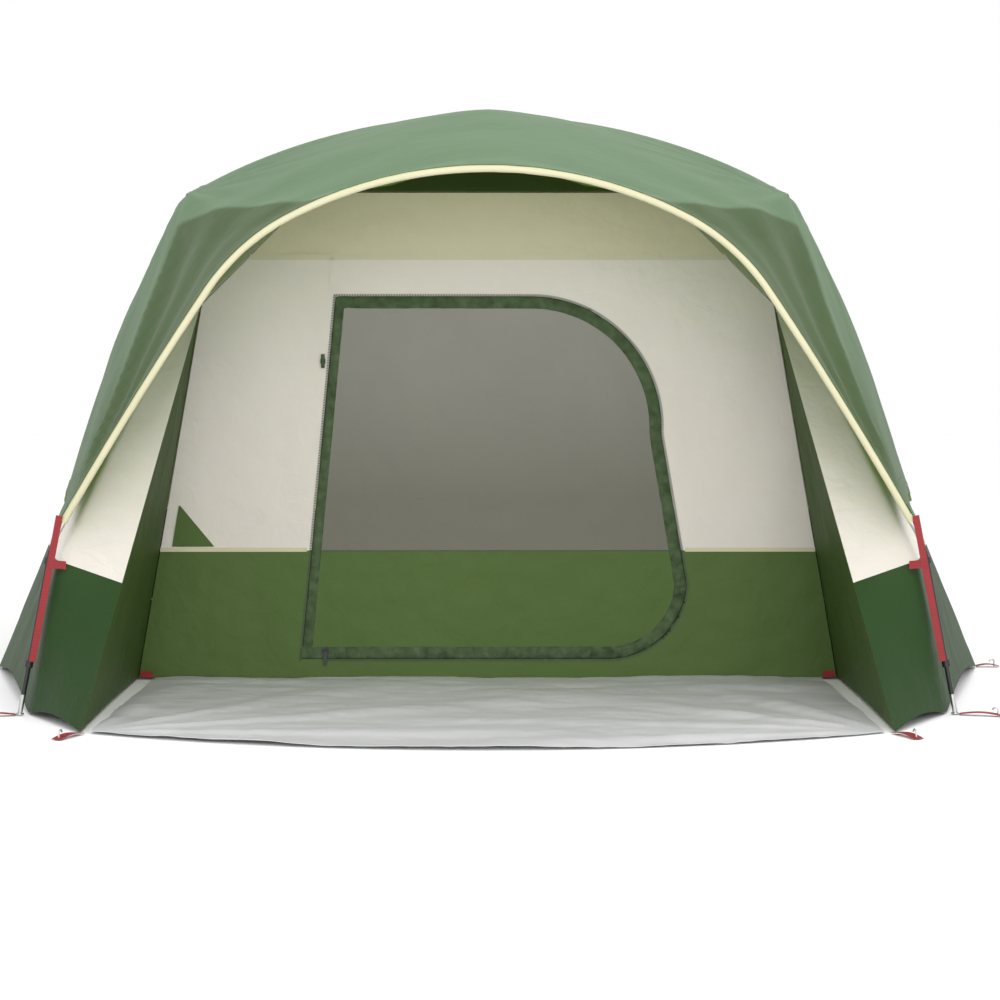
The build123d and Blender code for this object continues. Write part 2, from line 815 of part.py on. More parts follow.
def eyed_tape(x, y, heading, length):
    """Tape flat on the ground with an eye at its far end."""
    tape = Box(length, TAPE_WIDTH, TAPE, align=(Align.MIN, Align.CENTER, Align.MIN))
    eye_at = length - TAPE_WIDTH / 2
    tape -= Location((eye_at, 0, TAPE / 2)) * Cylinder(LOOP_EYE, 2 * TAPE)
    return Location((x, y, 0), (0, 0, heading)) * tape


def peg(x, y, heading, length):
    """Top of a wire peg in a tape's eye, hooked over the tape."""
    eye_at = length - TAPE_WIDTH / 2
    top = Vector(eye_at, 0, PEG_RISE)
    over = top + Vector(-PEG_HOOK_R, 0, PEG_HOOK_R)
    end = top - Vector(2 * PEG_HOOK_R, 0, 0)
    edges = [
        Edge.make_line(Vector(eye_at, 0, 0), top),
        Edge.make_three_point_arc(top, over, end),
    ]
    return Location((x, y, 0), (0, 0, heading)) * tube(edges, PEG_R)


def loop_places():
    """Start, heading in degrees and length of each pegged tape."""
    places = []
    for side in (-1, 1):
        places.append((side * TOE_HALF, TOE_Y - FOLD_BEAD - SEAM, 270 + side * TOE_SPLAY, LOOP_LENGTH))
        outward = 90 - side * 90
        places.append(ring_loop(pole_list()[0], side, outward - side * FOOT_SPLAY, LOOP_LENGTH))
        for pole, rear_side in zip(pole_list()[1:], (1, -1)):
            places.append(ring_loop(pole, side, 90 if side == rear_side else outward, None))
    return places


def ring_loop(pole, side, heading, length):
    """A tape that starts at a pole's foot ring; with no length it ends at the tent's rear."""
    centre = ring_centre(*pole, side)
    lead = ring_radius(pole[0]) + RING_WIRE + SEAM
    x = centre.X + lead * cosine(heading)
    y = centre.Y + lead * sine(heading)
    if length is None:
        length = LENGTH / 2 - y if heading == 90 else SIDE_LOOP
    return x, y, heading, length


# Build every node

def build_nodes():
    nodes = {
        "cabin_floor": [cabin_floor()],
        "porch_sheet": [porch_sheet()],
        "cabin_roof": [cabin_roof()],
        "front_lower": [door_wall(WALL_FOOT, BAND_TOP - SEAM)],
        "front_upper": [door_wall(BAND_TOP, HEADER_FOOT - SEAM)],
        "front_header": [door_wall(HEADER_FOOT, DOOR_WALL_TOP)],
        "rear_lower": [rear_wall(WALL_FOOT, BAND_TOP - SEAM)],
        "rear_upper": [rear_wall(BAND_TOP, SIDE_TOP)],
        "door_binding": [door_binding()],
        "door_mesh": [door_panel(BAND_TOP, DOOR_WALL_TOP)],
        "door_lower": [door_panel(0, BAND_TOP - SEAM)],
        "zip_slider": [zip_slider()],
        "zip_puller": [zip_puller()],
        "cable_flap": [cable_flap()],
        "door_tie": [door_tie()],
        "fly_roof": [fly_roof()],
        "fly_gable": [fly_gable()],
        "front_sleeve": [front_sleeve()],
        "crown_pad": [crown_pad()],
        "wall_clips": wall_clips(),
        "peg_loops": [eyed_tape(*place_at) for place_at in loop_places()],
        "pegs": [peg(*place_at) for place_at in loop_places()],
    }
    lower, upper = wing_lower(-1), wing_upper(-1)
    nodes["left_wing_lower"], nodes["right_wing_lower"] = [lower], [mirror(lower, about=Plane.YZ)]
    nodes["left_wing_upper"], nodes["right_wing_upper"] = [upper], [mirror(upper, about=Plane.YZ)]
    for name, side in (("left", -1), ("right", 1)):
        nodes[name + "_side_lower"] = [side_wall(side, WALL_FOOT, BAND_TOP - SEAM)]
        nodes[name + "_side_upper"] = [side_wall(side, BAND_TOP, SIDE_TOP)]
        nodes[name + "_corner_strap"] = [corner_strap(side)]
        nodes[name + "_wing_clip"] = [pole_clip(side, WING_TAB)]
        nodes[name + "_strap_clip"] = [pole_clip(side, STRAP_FOOT)]
    counts = (FRONT_ROD_COUNT, MAIN_ROD_COUNT, MAIN_ROD_COUNT)
    names = ("front_pole", "main_pole_a", "main_pole_b")
    tips, rings = [], []
    for name, pole, count in zip(names, pole_list(), counts):
        rods, ferrules, cord = pole_pieces(*pole, count)
        nodes[name + "_rods"] = rods
        nodes[name + "_ferrules"] = ferrules
        nodes[name + "_cord"] = [cord]
        tips += [pole_tip(*pole, side) for side in (-1, 1)]
        rings += [foot_ring(*pole, side) for side in (-1, 1)]
    nodes["pole_tips"] = tips
    nodes["foot_rings"] = rings
    return nodes


os.makedirs("parts", exist_ok=True)
for node, shapes in build_nodes().items():
    solids = [solid for shape in shapes for solid in shape.solids()]
    export_step(Compound(children=solids), os.path.join("parts", node + ".step"))
    print(node, len(solids), "solids")
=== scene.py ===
# %% [markdown]
# # A cabin tent on poles
# The tent stands on a front arch pole and two long poles that cross over the cabin. A green fly lies
# over the poles, a cabin of cream and green cloth hangs inside it, and two wings make a porch in front
# of the door. The frame holds the measured model. This scene gives the cloth its real thinness, sag and
# creases, and gives every piece its material.

# %% Frame
import math

import bpy
import numpy as np
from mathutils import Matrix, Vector, noise


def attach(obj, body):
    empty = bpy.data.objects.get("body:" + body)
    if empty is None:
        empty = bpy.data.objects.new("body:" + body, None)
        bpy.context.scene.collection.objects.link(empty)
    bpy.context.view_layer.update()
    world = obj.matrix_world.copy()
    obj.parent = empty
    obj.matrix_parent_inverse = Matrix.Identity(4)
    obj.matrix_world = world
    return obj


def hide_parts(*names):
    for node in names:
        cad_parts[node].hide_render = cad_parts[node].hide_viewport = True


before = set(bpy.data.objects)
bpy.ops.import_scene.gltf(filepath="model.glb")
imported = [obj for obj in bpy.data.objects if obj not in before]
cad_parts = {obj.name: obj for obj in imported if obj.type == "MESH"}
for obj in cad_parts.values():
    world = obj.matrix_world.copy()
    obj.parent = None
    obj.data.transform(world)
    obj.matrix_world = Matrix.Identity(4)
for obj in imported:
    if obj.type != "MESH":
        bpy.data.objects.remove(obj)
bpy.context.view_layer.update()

# %% [markdown]
# ## Camera
# The camera could be turned by eye until the tent looks right, but a few numbers are easier to mend one
# at a time. The porch floor and the feet of the poles fix the view: a long lens about 4.8 m in front of
# the toes of the wings, at the height of a sitting person. The horizon lies above the middle of the
# picture, so the camera tilts down a little.

# %% Camera
LENS_MM = 82.8
SENSOR_MM = 36.0
CAMERA_PLACE = (0.0, -6.335, 0.694)
CAMERA_TILT = 2.49
CAMERA_TURN = 0.30

camera_data = bpy.data.cameras.new("camera")
camera_data.lens = LENS_MM
camera_data.sensor_width = SENSOR_MM
camera = bpy.data.objects.new("camera", camera_data)
camera.location = CAMERA_PLACE
camera.rotation_euler = (math.radians(90 - CAMERA_TILT), 0, math.radians(-CAMERA_TURN))
bpy.context.scene.collection.objects.link(camera)
bpy.context.scene.camera = camera
print("camera at", CAMERA_PLACE)

# %% [markdown]
# ## Light
# A white studio: an even white surround, a broad lamp in front on the right, one behind the camera that
# reaches into the porch, and a weak one above. A sun would be simpler, but its hard shadows would hide
# the soft folds of the cloth.

# %% Light
WORLD_STRENGTH = 1.0


def white_surround():
    world = bpy.data.worlds.new("studio")
    bpy.context.scene.world = world
    world.use_nodes = True
    surround = world.node_tree.nodes["Background"]
    surround.inputs["Color"].default_value = (1, 1, 1, 1)
    surround.inputs["Strength"].default_value = WORLD_STRENGTH


def area_lamp(name, place, target, size, power):
    data = bpy.data.lights.new(name, "AREA")
    data.shape = "SQUARE"
    data.size = size
    data.energy = power
    lamp = bpy.data.objects.new(name, data)
    lamp.location = place
    lamp.rotation_euler = (Vector(target) - Vector(place)).to_track_quat("-Z", "Y").to_euler()
    bpy.context.scene.collection.objects.link(lamp)


white_surround()
area_lamp("key_lamp", (0.8, -5.4, 4.6), (0, -0.4, 0.6), 3.5, 90)
area_lamp("front_lamp", (0.3, -8.0, 1.3), (0, -0.6, 0.6), 4.0, 240)
area_lamp("top_lamp", (0.6, 0.6, 5.5), (0, 0.2, 0.6), 4.0, 60)
bpy.context.scene.view_settings.view_transform = "Standard"
print("studio: 3 lamps")

# %% [markdown]
# ## Materials
# Tent cloth is a fine plain weave with a coating, so it is nearly matt face on and catches a little
# light at a low angle. A picture of cloth could be wrapped on each panel, but a pattern that is worked
# out in the shader has no seams and keeps its real size on every panel. Two small helpers come first:
# one turns a colour code into a linear colour, and one adds a node to a tree. One function then makes
# all the cloths from a colour, a roughness and the size and depth of their creases. The others let
# light through, paint on a faint glow of daylight, paint shade onto a part in a second, darker colour,
# and make the webbing and the hard pieces.

# %% Materials
MM = 0.001
CLOTH_SPECULAR = 0.06
SHEEN_ROUGHNESS = 0.4
PATCH_CREASES, PATCH_DETAIL = 6, 3.0
CREASE_DETAIL, CREASE_TWIST, CREASE_STRENGTH = 4.0, 0.6, 0.6
GLOW_REACH = (1.0, 1.0, 0.6)
RIB_DEPTH, RIB_TWIST, RIB_STRENGTH = 0.4 * MM, 0.4, 0.5
WEBBING_ROUGHNESS = 0.6
MIX_SHARE, MIX_FIRST, MIX_SECOND, MIX_COLOUR = 0, 6, 7, 2
RANGE_VALUE, RANGE_START, RANGE_END = 0, 1, 2


def srgb(code):
    """Linear colour of a hex code."""
    parts = [int(code[at:at + 2], 16) / 255 for at in (1, 3, 5)]
    line = [part / 12.92 if part <= 0.04045 else ((part + 0.055) / 1.055) ** 2.4 for part in parts]
    return (*line, 1.0)


def add_node(tree, kind, inputs=None, **settings):
    """Adds a node; an input's value is a number, a colour or another node's output."""
    node = tree.nodes.new(kind)
    for name, value in settings.items():
        setattr(node, name, value)
    for name, value in (inputs or {}).items():
        if isinstance(value, bpy.types.NodeSocket):
            tree.links.new(value, node.inputs[name])
        else:
            node.inputs[name].default_value = value
    return node


def new_material(name):
    material = bpy.data.materials.new(name)
    material.use_nodes = True
    tree = material.node_tree
    tree.nodes.clear()
    shader = add_node(tree, "ShaderNodeBsdfPrincipled")
    add_node(tree, "ShaderNodeOutputMaterial", {"Surface": shader.outputs[0]})
    return material, tree, shader


def cloth_material(name, code, shade, roughness, crease_mm, depth_mm, sheen=0.0):
    """Woven cloth: two close shades in soft patches, and creases in the surface."""
    material, tree, shader = new_material(name)
    coords = add_node(tree, "ShaderNodeTexCoord")
    patch = add_node(tree, "ShaderNodeTexNoise",
                     {"Vector": coords.outputs["Object"], "Scale": 1 / (PATCH_CREASES * crease_mm * MM),
                      "Detail": PATCH_DETAIL})
    colour = add_node(tree, "ShaderNodeMix",
                      {MIX_SHARE: patch.outputs[0], MIX_FIRST: srgb(code), MIX_SECOND: srgb(shade)},
                      data_type="RGBA")
    crease = add_node(tree, "ShaderNodeTexNoise",
                      {"Vector": coords.outputs["Object"], "Scale": 1 / (crease_mm * MM),
                       "Detail": CREASE_DETAIL, "Distortion": CREASE_TWIST})
    bump = add_node(tree, "ShaderNodeBump",
                    {"Height": crease.outputs[0], "Distance": depth_mm * MM, "Strength": CREASE_STRENGTH})
    tree.links.new(colour.outputs[MIX_COLOUR], shader.inputs["Base Color"])
    tree.links.new(bump.outputs[0], shader.inputs["Normal"])
    shader.inputs["Roughness"].default_value = roughness
    shader.inputs["Specular IOR Level"].default_value = CLOTH_SPECULAR
    shader.inputs["Sheen Weight"].default_value = sheen
    shader.inputs["Sheen Roughness"].default_value = SHEEN_ROUGHNESS
    return material


def let_light_through(material, weight, depth_mm):
    """Light that falls on one face of thin cloth glows a little on the other."""
    shader = material.node_tree.nodes["Principled BSDF"]
    shader.inputs["Subsurface Weight"].default_value = weight
    shader.inputs["Subsurface Radius"].default_value = GLOW_REACH
    shader.inputs["Subsurface Scale"].default_value = depth_mm * MM


def let_glow(material, code, strength):
    """Daylight that comes through from the other side, as a faint glow."""
    shader = material.node_tree.nodes["Principled BSDF"]
    shader.inputs["Emission Color"].default_value = srgb(code)
    shader.inputs["Emission Strength"].default_value = strength


def recolour(material, code, value, start, end):
    """Mixes a second colour over the first as a value goes from its start to its end."""
    tree = material.node_tree
    shader = tree.nodes["Principled BSDF"]
    first = shader.inputs["Base Color"].links[0].from_socket
    share = add_node(tree, "ShaderNodeMapRange", {RANGE_VALUE: value, RANGE_START: start, RANGE_END: end})
    colour = add_node(tree, "ShaderNodeMix",
                      {MIX_SHARE: share.outputs[0], MIX_FIRST: first, MIX_SECOND: srgb(code)},
                      data_type="RGBA")
    tree.links.new(colour.outputs[MIX_COLOUR], shader.inputs["Base Color"])


def paint_where(material, attribute, code, edge_mm):
    """Painted shade in a second colour where a mesh attribute, a distance in metres, is above zero."""
    mark = add_node(material.node_tree, "ShaderNodeAttribute", attribute_name=attribute)
    recolour(material, code, mark.outputs["Fac"], 0.0, edge_mm * MM)


def darken_down(material, code, high, low):
    """Painted shade: a second, darker colour that comes in from one height down to another."""
    coords = add_node(material.node_tree, "ShaderNodeTexCoord")
    place = add_node(material.node_tree, "ShaderNodeSeparateXYZ", {"Vector": coords.outputs["Object"]})
    recolour(material, code, place.outputs["Z"], high, low)


def plain_material(name, code, roughness, metallic=0.0):
    material, tree, shader = new_material(name)
    shader.inputs["Base Color"].default_value = srgb(code)
    shader.inputs["Roughness"].default_value = roughness
    shader.inputs["Metallic"].default_value = metallic
    return material


def webbing_material(name, code, shade, rib_mm):
    """Flat webbing: ribs across its length, from a wave in the surface."""
    material, tree, shader = new_material(name)
    coords = add_node(tree, "ShaderNodeTexCoord")
    wave = add_node(tree, "ShaderNodeTexWave",
                    {"Vector": coords.outputs["Object"], "Scale": 1 / (rib_mm * MM * 2 * math.pi),
                     "Distortion": RIB_TWIST},
                    wave_type="BANDS", bands_direction="Z")
    colour = add_node(tree, "ShaderNodeMix",
                      {MIX_SHARE: wave.outputs[1], MIX_FIRST: srgb(code), MIX_SECOND: srgb(shade)},
                      data_type="RGBA")
    bump = add_node(tree, "ShaderNodeBump",
                    {"Height": wave.outputs[1], "Distance": RIB_DEPTH, "Strength": RIB_STRENGTH})
    tree.links.new(colour.outputs[MIX_COLOUR], shader.inputs["Base Color"])
    tree.links.new(bump.outputs[0], shader.inputs["Normal"])
    shader.inputs["Roughness"].default_value = WEBBING_ROUGHNESS
    return material


print("material functions ready, cloth specular", CLOTH_SPECULAR)

# %% [markdown]
# ## Finishes of the tent
# Each finish is named for what the real one is made of, and a line above it says what that gives the
# eye. The shades could be picked per panel, but a tent is cut from a few rolls of cloth, so panels from
# the same roll share a material; the header's cream is the one copy, darker and greener with painted
# shade and painted green light from the fly above it. The colours are matched under the light of this
# studio.

# %% Finishes of the tent
# Coated polyester, woven: satin, a little greyer on top of the roof than down its sides, where the darker
# green is painted shade. Its threads are too fine to show, so the pattern is the soft creases of cloth that
# was packed away.
FLY = cloth_material("fly polyester", "#557050", "#4d6848", 0.5, 60, 3.0, 0.03)
darken_down(FLY, "#43593a", 1.15, 0.6)
# Painted shade: the two front panels between their creases face away from the light and are painted a deeper
# green.
paint_where(FLY, "front_panel", "#3c502b", 10)
# The uncoated face of the same cloth: daylight comes through it, so it looks lighter and more yellow.
FLY_INSIDE = cloth_material("fly polyester, inside", "#6d8a47", "#64813f", 0.55, 60, 3.0)
let_glow(FLY_INSIDE, "#6d8a47", 0.35)
# Coated polyester of the lower band: a flat, even green, deeper on the wings and the sides.
BAND_GREEN = cloth_material("green polyester", "#52663a", "#4b5f33", 0.5, 45, 5.0)
WING_GREEN = cloth_material("wing polyester", "#2e4526", "#283e21", 0.5, 45, 5.0)
STRIP_GREEN = cloth_material("porch side polyester", "#475b2f", "#3e5128", 0.5, 45, 5.0)
# Uncoated polyester, so that the cabin breathes: matt, and pale enough to pick up the colours around it.
CREAM = cloth_material("cream polyester", "#e1dacd", "#dad2c4", 0.65, 50, 5.0)
# The header's cream is darker and greener than the walls': painted shade and painted green light from the fly
# over it.
HEADER_CREAM_PAINTED_SHADE = cloth_material("cream polyester, header, painted shade", "#d4cdb0", "#cdc6a8", 0.65, 50, 5.0)
PIPING = cloth_material("cream hem tape", "#c6c3a4", "#bdb999", 0.6, 30, 1.0)
# Knitted mesh: its holes are too fine to show, so it is a matt grey with the dim cabin behind it painted
# in as shade, darker towards the bottom.
MESH_GREY = cloth_material("insect mesh", "#94928b", "#868480", 0.8, 40, 5.0)
darken_down(MESH_GREY, "#6e6d64", 0.95, 0.45)
# Thin polyester, gathered: small folds catch the light and hold dark shade between them, and its colour is
# painted in light and dark patches as well, as painted highlights and painted shade.
BINDING_GREEN = cloth_material("door binding", "#5d7050", "#1d2817", 0.5, 4, 3.0)
# Woven polyethylene sheet: smoother than the cloths, with broad soft creases.
PORCH_GREY = cloth_material("porch sheet", "#cacacb", "#c1c1c3", 0.4, 70, 4.0)
FLOOR_GREY = cloth_material("cabin floor sheet", "#6a6c6e", "#626466", 0.5, 60, 2.0)
# Woven polypropylene webbing: a strong matt red with ribs across it.
RED_WEBBING = webbing_material("red webbing", "#900d17", "#740a12", 1.6)
# Polyester thread, matt, in the shade of the cloth that it sews.
THREAD = plain_material("sewing thread", "#6d7d55", 0.7)
CREAM_THREAD = plain_material("cream thread", "#b9b49c", 0.7)
# Pultruded glass fibre, black and half glossy, so that it shows a thin streak of light.
POLE_BLACK = plain_material("glass fibre", "#1b1c1e", 0.32)
# Zinc plated steel: grey, with soft reflections.
STEEL = plain_material("zinc plated steel", "#c3c4c2", 0.3, 1.0)
# Moulded plastics, nearly matt.
BLACK_PLASTIC = plain_material("black plastic", "#1a1a1b", 0.45)
ZIP_GREEN = plain_material("zip plastic", "#2c3a26", 0.5)
# Braided elastic, dull; it is out of sight inside the poles.
ELASTIC = plain_material("braided elastic", "#2a2a2b", 0.8)
# Matt white paint of the studio.
FLOOR_WHITE = plain_material("studio floor", "#ffffff", 0.9)
for cloth in (FLY, FLY_INSIDE, CREAM, HEADER_CREAM_PAINTED_SHADE):
    let_light_through(cloth, 0.6, 4.0)
print("materials:", len(bpy.data.materials))

# %% [markdown]
# ## From a grid of points to a sheet of cloth
# Every panel starts as a grid of points in space. A Solidify modifier could give it a thickness, but
# then its two faces may split into different triangles and show through each other at a crease, so the
# helpers here build both faces and a rim. They also hang each piece on its body and hide the frame's
# nodes that it stands for.

# %% From a grid of points to a sheet of cloth
CLOTH = 1.0 * MM
SHARP_ANGLE = 50.0
NOISE_SHIFT = Vector((7.3, 3.1, 5.7))
SMALLEST = 1e-12


def noise_at(points, scale, seed):
    """Smooth noise from about -1 to 1; scale is the size of its bumps in metres."""
    shift = NOISE_SHIFT * seed
    flat = points.reshape(-1, 3)
    values = [noise.noise(Vector(point) / scale + shift) for point in flat]
    return np.array(values).reshape(points.shape[:-1])


def grid_faces(rows, columns):
    return [
        (row * columns + column, (row + 1) * columns + column,
         (row + 1) * columns + column + 1, row * columns + column + 1)
        for row in range(rows - 1) for column in range(columns - 1)
    ]


def grid_normals(points):
    normals = np.cross(np.gradient(points, axis=0), np.gradient(points, axis=1))
    length = np.linalg.norm(normals, axis=2, keepdims=True)
    return normals / np.maximum(length, SMALLEST)


def make_mesh(name, points, faces, materials, indices=None):
    mesh = bpy.data.meshes.new(name)
    mesh.from_pydata([tuple(point) for point in points], [], faces)
    for material in materials:
        mesh.materials.append(material)
    if indices is not None:
        mesh.polygons.foreach_set("material_index", indices)
    mesh.polygons.foreach_set("use_smooth", [True] * len(mesh.polygons))
    mesh.set_sharp_from_angle(angle=math.radians(SHARP_ANGLE))
    piece = bpy.data.objects.new(name, mesh)
    bpy.context.scene.collection.objects.link(piece)
    return piece


def thick_sheet(name, points, faces, normals, material, lining=None, thickness=CLOTH):
    """Closed sheet: a front and a back layer, and a rim along every open edge."""
    used = sorted({index for face in faces for index in face})
    place = {old: new for new, old in enumerate(used)}
    faces = [tuple(place[index] for index in face) for face in faces]
    points, normals = points[used], normals[used]
    count = len(points)
    layers = np.concatenate([points + normals * thickness / 2, points - normals * thickness / 2])
    edges = {(a, b) for face in faces for a, b in zip(face, face[1:] + face[:1])}
    rim = [(b, a, a + count, b + count) for a, b in edges if (b, a) not in edges]
    back = [tuple(index + count for index in face[:1] + face[:0:-1]) for face in faces]
    indices = [0] * len(faces) + [1] * len(back) + [0] * len(rim)
    return make_mesh(name, layers, faces + back + sorted(rim), [material, lining or material], indices)


def grid_sheet(name, points, material, lining=None, thickness=CLOTH):
    faces = grid_faces(*points.shape[:2])
    normals = grid_normals(points).reshape(-1, 3)
    return thick_sheet(name, points.reshape(-1, 3), faces, normals, material, lining, thickness)


def settle(piece, nodes=(), body="tent"):
    """The piece moves with a body and stands for CAD nodes, which are hidden."""
    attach(piece, body)
    if nodes:
        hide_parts(*nodes)
    return piece


print("cloth is %.1f mm thick" % (CLOTH / MM))

# %% [markdown]
# ## Lines, edges and tapes
# A panel is stretched between lines, so the next helpers make evenly spaced points along straight runs,
# rows of points from one line to another, paths with rounded corners, and tapes along a path. Curve
# objects could do the same, but arrays of points are easier to bend and to measure. The studio floor is
# laid here too: one white square that keeps the shadow under the tent.

# %% Lines, edges and tapes
FLOOR_HALF, FLOOR_Z = 40.0, -2 * MM
HANDS = (("left", -1), ("right", 1))


def blend_points(first, last, count):
    """Rows of points from one curve to another."""
    shares = np.linspace(0, 1, count)[:, None, None]
    return first[None] * (1 - shares) + last[None] * shares


def towards(edge, tip, share):
    """An edge drawn together towards a tip."""
    return edge * (1 - share) + np.array(tip) * share


def path_marks(corners):
    """Distance along a path to each of its corners."""
    return np.concatenate([[0], np.cumsum(np.linalg.norm(np.diff(corners, axis=0), axis=1))])


def points_along(corners, at):
    """Points at the given distances along straight runs."""
    marks = path_marks(corners)
    return np.stack([np.interp(at, marks, corners[:, axis]) for axis in range(corners.shape[1])], axis=1)


def polyline(corners, count):
    """Evenly spaced points along straight runs."""
    corners = np.array(corners, float)
    return points_along(corners, np.linspace(0, path_marks(corners)[-1], count))


def smooth_path(points, passes):
    """Rounds the corners of a path and keeps its ends."""
    points = points.copy()
    for _ in range(passes):
        points[1:-1] = (points[:-2] + 2 * points[1:-1] + points[2:]) / 4
    return points


def tape(path, side, width, columns=5):
    """Grid of a tape along a path; side is the direction across it."""
    across = np.linspace(-width / 2, width / 2, columns)[None, :, None]
    side = np.broadcast_to(np.array(side, float), path.shape)
    side = side / np.linalg.norm(side, axis=1, keepdims=True)
    return path[:, None] + side[:, None] * across


floor_mesh = make_mesh(
    "studio_floor",
    np.array([(x * FLOOR_HALF, y * FLOOR_HALF, FLOOR_Z) for x, y in ((-1, -1), (1, -1), (1, 1), (-1, 1))]),
    [(0, 1, 2, 3)], [FLOOR_WHITE])
print("helpers ready, floor laid")

# %% [markdown]
# ## Bows of the poles
# The fly and its sleeve follow the poles. Their lines could be traced on the meshes of the poles, but a
# few numbers give them exactly: runs of constant bend from the crown outwards, each with its radius and
# its slope at both ends. Two radii are found from the span and the rise.

# %% Bows of the poles
FRONT_Y = -1.275
FRONT_HEIGHT = 1.200
FRONT_CROWN_R = 0.950
FRONT_SLOPES = (27.0, 56.0, 60.0)
FRONT_HIP_HALF, FRONT_HIP = 0.940, 0.415
FRONT_KNEE_R = 0.250
FRONT_LEG_SLOPE = 79.0
FRONT_STEPS = (60, 60, 60, 20)
HEM_Z = 0.425
HEM_HALF = 1.120
FLY_ELBOW_R = 0.160
FLY_SLOPES = (29.0, 62.0, 76.0)


def solve_radii(slopes, known, radius, half, rise):
    """Radii of three bends when one of them is known."""
    turns = np.radians([0.0, *slopes])
    across = np.diff(np.sin(turns))
    down = -np.diff(np.cos(turns))
    free = [index for index in range(3) if index != known]
    left = np.array([half - radius * across[known], rise - radius * down[known]])
    found = np.linalg.solve(np.array([across[free], down[free]]), left)
    radii = [radius] * 3
    for index, value in zip(free, found):
        radii[index] = float(value)
    return [(radii[index], turns[index], turns[index + 1]) for index in range(3)]


def bow_points(bends, counts):
    """Across and down from the crown to the end of one side, with a number of steps in each bend."""
    points = [np.zeros((1, 2))]
    for (radius, start, end), count in zip(bends, counts):
        turns = np.linspace(start, end, count + 1)[1:]
        across = radius * (np.sin(turns) - np.sin(start))
        down = radius * (np.cos(start) - np.cos(turns))
        points.append(points[-1][-1] + np.stack([across, down], axis=1))
    return np.concatenate(points)


def cut_bow(bends, drop):
    """Ends the last bend at a drop below the crown."""
    above = bow_points(bends[:2], (1, 1))[-1][1]
    radius, start, _ = bends[2]
    return bends[:2] + [(radius, start, math.acos(math.cos(start) - (drop - above) / radius))]


def grown(bends, step):
    return [(radius + step, start, end) for radius, start, end in bends]


FRONT_BENDS = solve_radii(FRONT_SLOPES, 0, FRONT_CROWN_R, FRONT_HIP_HALF, FRONT_HEIGHT - FRONT_HIP)


def front_line():
    """One side of the front pole: the arch, the knee and the straight leg down to the ground."""
    knee = (FRONT_KNEE_R, math.radians(FRONT_SLOPES[2]), math.radians(FRONT_LEG_SLOPE))
    line = bow_points(FRONT_BENDS + [knee], FRONT_STEPS)
    drop = FRONT_HEIGHT - line[-1, 1]
    foot = line[-1] + (drop / math.tan(math.radians(FRONT_LEG_SLOPE)), drop)
    return np.concatenate([line, [foot]])


FRONT_LINE = front_line()


def pole_x(z):
    """Half width of the front pole at a height."""
    return float(np.interp(FRONT_HEIGHT - z, FRONT_LINE[:, 1], FRONT_LINE[:, 0]))


def leg_x(z):
    """Half width of the straight line that the leg of the front pole lies on."""
    return pole_x(0) - z / math.tan(math.radians(FRONT_LEG_SLOPE))


def both_sides(half):
    """A full section from one side, left to right."""
    return np.concatenate([half[:0:-1] * (-1, 1), half])


print("front bow radii:", [round(bend[0], 3) for bend in FRONT_BENDS])

# %% [markdown]
# ## Fly
# The fly is one large sheet. It could be draped by simulation over the poles, but a pitched fly is
# pulled tight and its shape is known at every pole, so the sheet is drawn through six cross-sections
# instead: the front arch, the shoulder, the elbow of the poles, the ridge and the same behind.
# Smoothing along the length rounds the cloth over each section. Creases run out from the points that
# pull on it, and the hem rises between its fixings.

# %% Fly
FLY_FRONT, FLY_BACK = -1.277, 1.600
CROWN_Y, SIDE_Y, MAIN_FOOT_HALF = 0.6625, -0.365, 1.262
FLY_STATIONS = (
    (FLY_FRONT, None), (-0.240, 1.450), (0.010, 1.490), (CROWN_Y, 1.545), (1.315, 1.490), (FLY_BACK, 1.440),
)
FLY_COUNTS = (34, 18, 24)
FLY_ROWS = 112
FLY_SMOOTHING = 10
FLY_OUT = 1.6 * MM
FLY_EDGE_LIFT = 7.2 * MM
HEM_FIXINGS = (FLY_FRONT, -0.234, FLY_BACK)
HEM_RISE = 0.06
MIDDLE = sum(FLY_COUNTS)
ELBOW = FLY_COUNTS[0] + FLY_COUNTS[1] // 2


def fly_section(y, crown):
    """The fly across the tent; the front one has no crown of its own and follows the arch."""
    if crown is None:
        crown = FRONT_HEIGHT + FLY_EDGE_LIFT
        bends = cut_bow(grown(FRONT_BENDS, FLY_EDGE_LIFT), crown - HEM_Z)
    else:
        bends = solve_radii(FLY_SLOPES, 1, FLY_ELBOW_R, HEM_HALF, crown - HEM_Z)
    line = both_sides(bow_points(bends, FLY_COUNTS))[::-1]
    return np.stack([line[:, 0], np.full(len(line), y), crown - line[:, 1]], axis=1)


def fly_grid():
    """Rows of the fly from front to back, each from right to left so that its outer face is up."""
    marks = np.array([y for y, _ in FLY_STATIONS])
    sections = np.array([fly_section(y, crown) for y, crown in FLY_STATIONS])
    rows = np.linspace(marks[0], marks[-1], FLY_ROWS)
    grid = np.empty((FLY_ROWS, sections.shape[1], 3))
    for column in range(sections.shape[1]):
        for axis in range(3):
            grid[:, column, axis] = np.interp(rows, marks, sections[:, column, axis])
    return np.stack([smooth_path(grid[:, column], FLY_SMOOTHING) for column in range(grid.shape[1])], axis=1)


def raise_hem(grid):
    """Shortens the sides of the cloth between the fixings of its hem."""
    shares = np.linspace(0, 1, FLY_COUNTS[2] + 1)
    y = grid[:, 0, 1]
    span = np.interp(y, HEM_FIXINGS, range(len(HEM_FIXINGS)))
    keep = 1 - HEM_RISE * np.sin(np.pi * span) ** 2
    for row in range(len(grid)):
        for columns in (slice(FLY_COUNTS[2], None, -1), slice(-FLY_COUNTS[2] - 1, None)):
            leg = grid[row, columns].copy()
            for axis in range(3):
                grid[row, columns, axis] = np.interp(shares * keep[row], shares, leg[:, axis])
    return grid


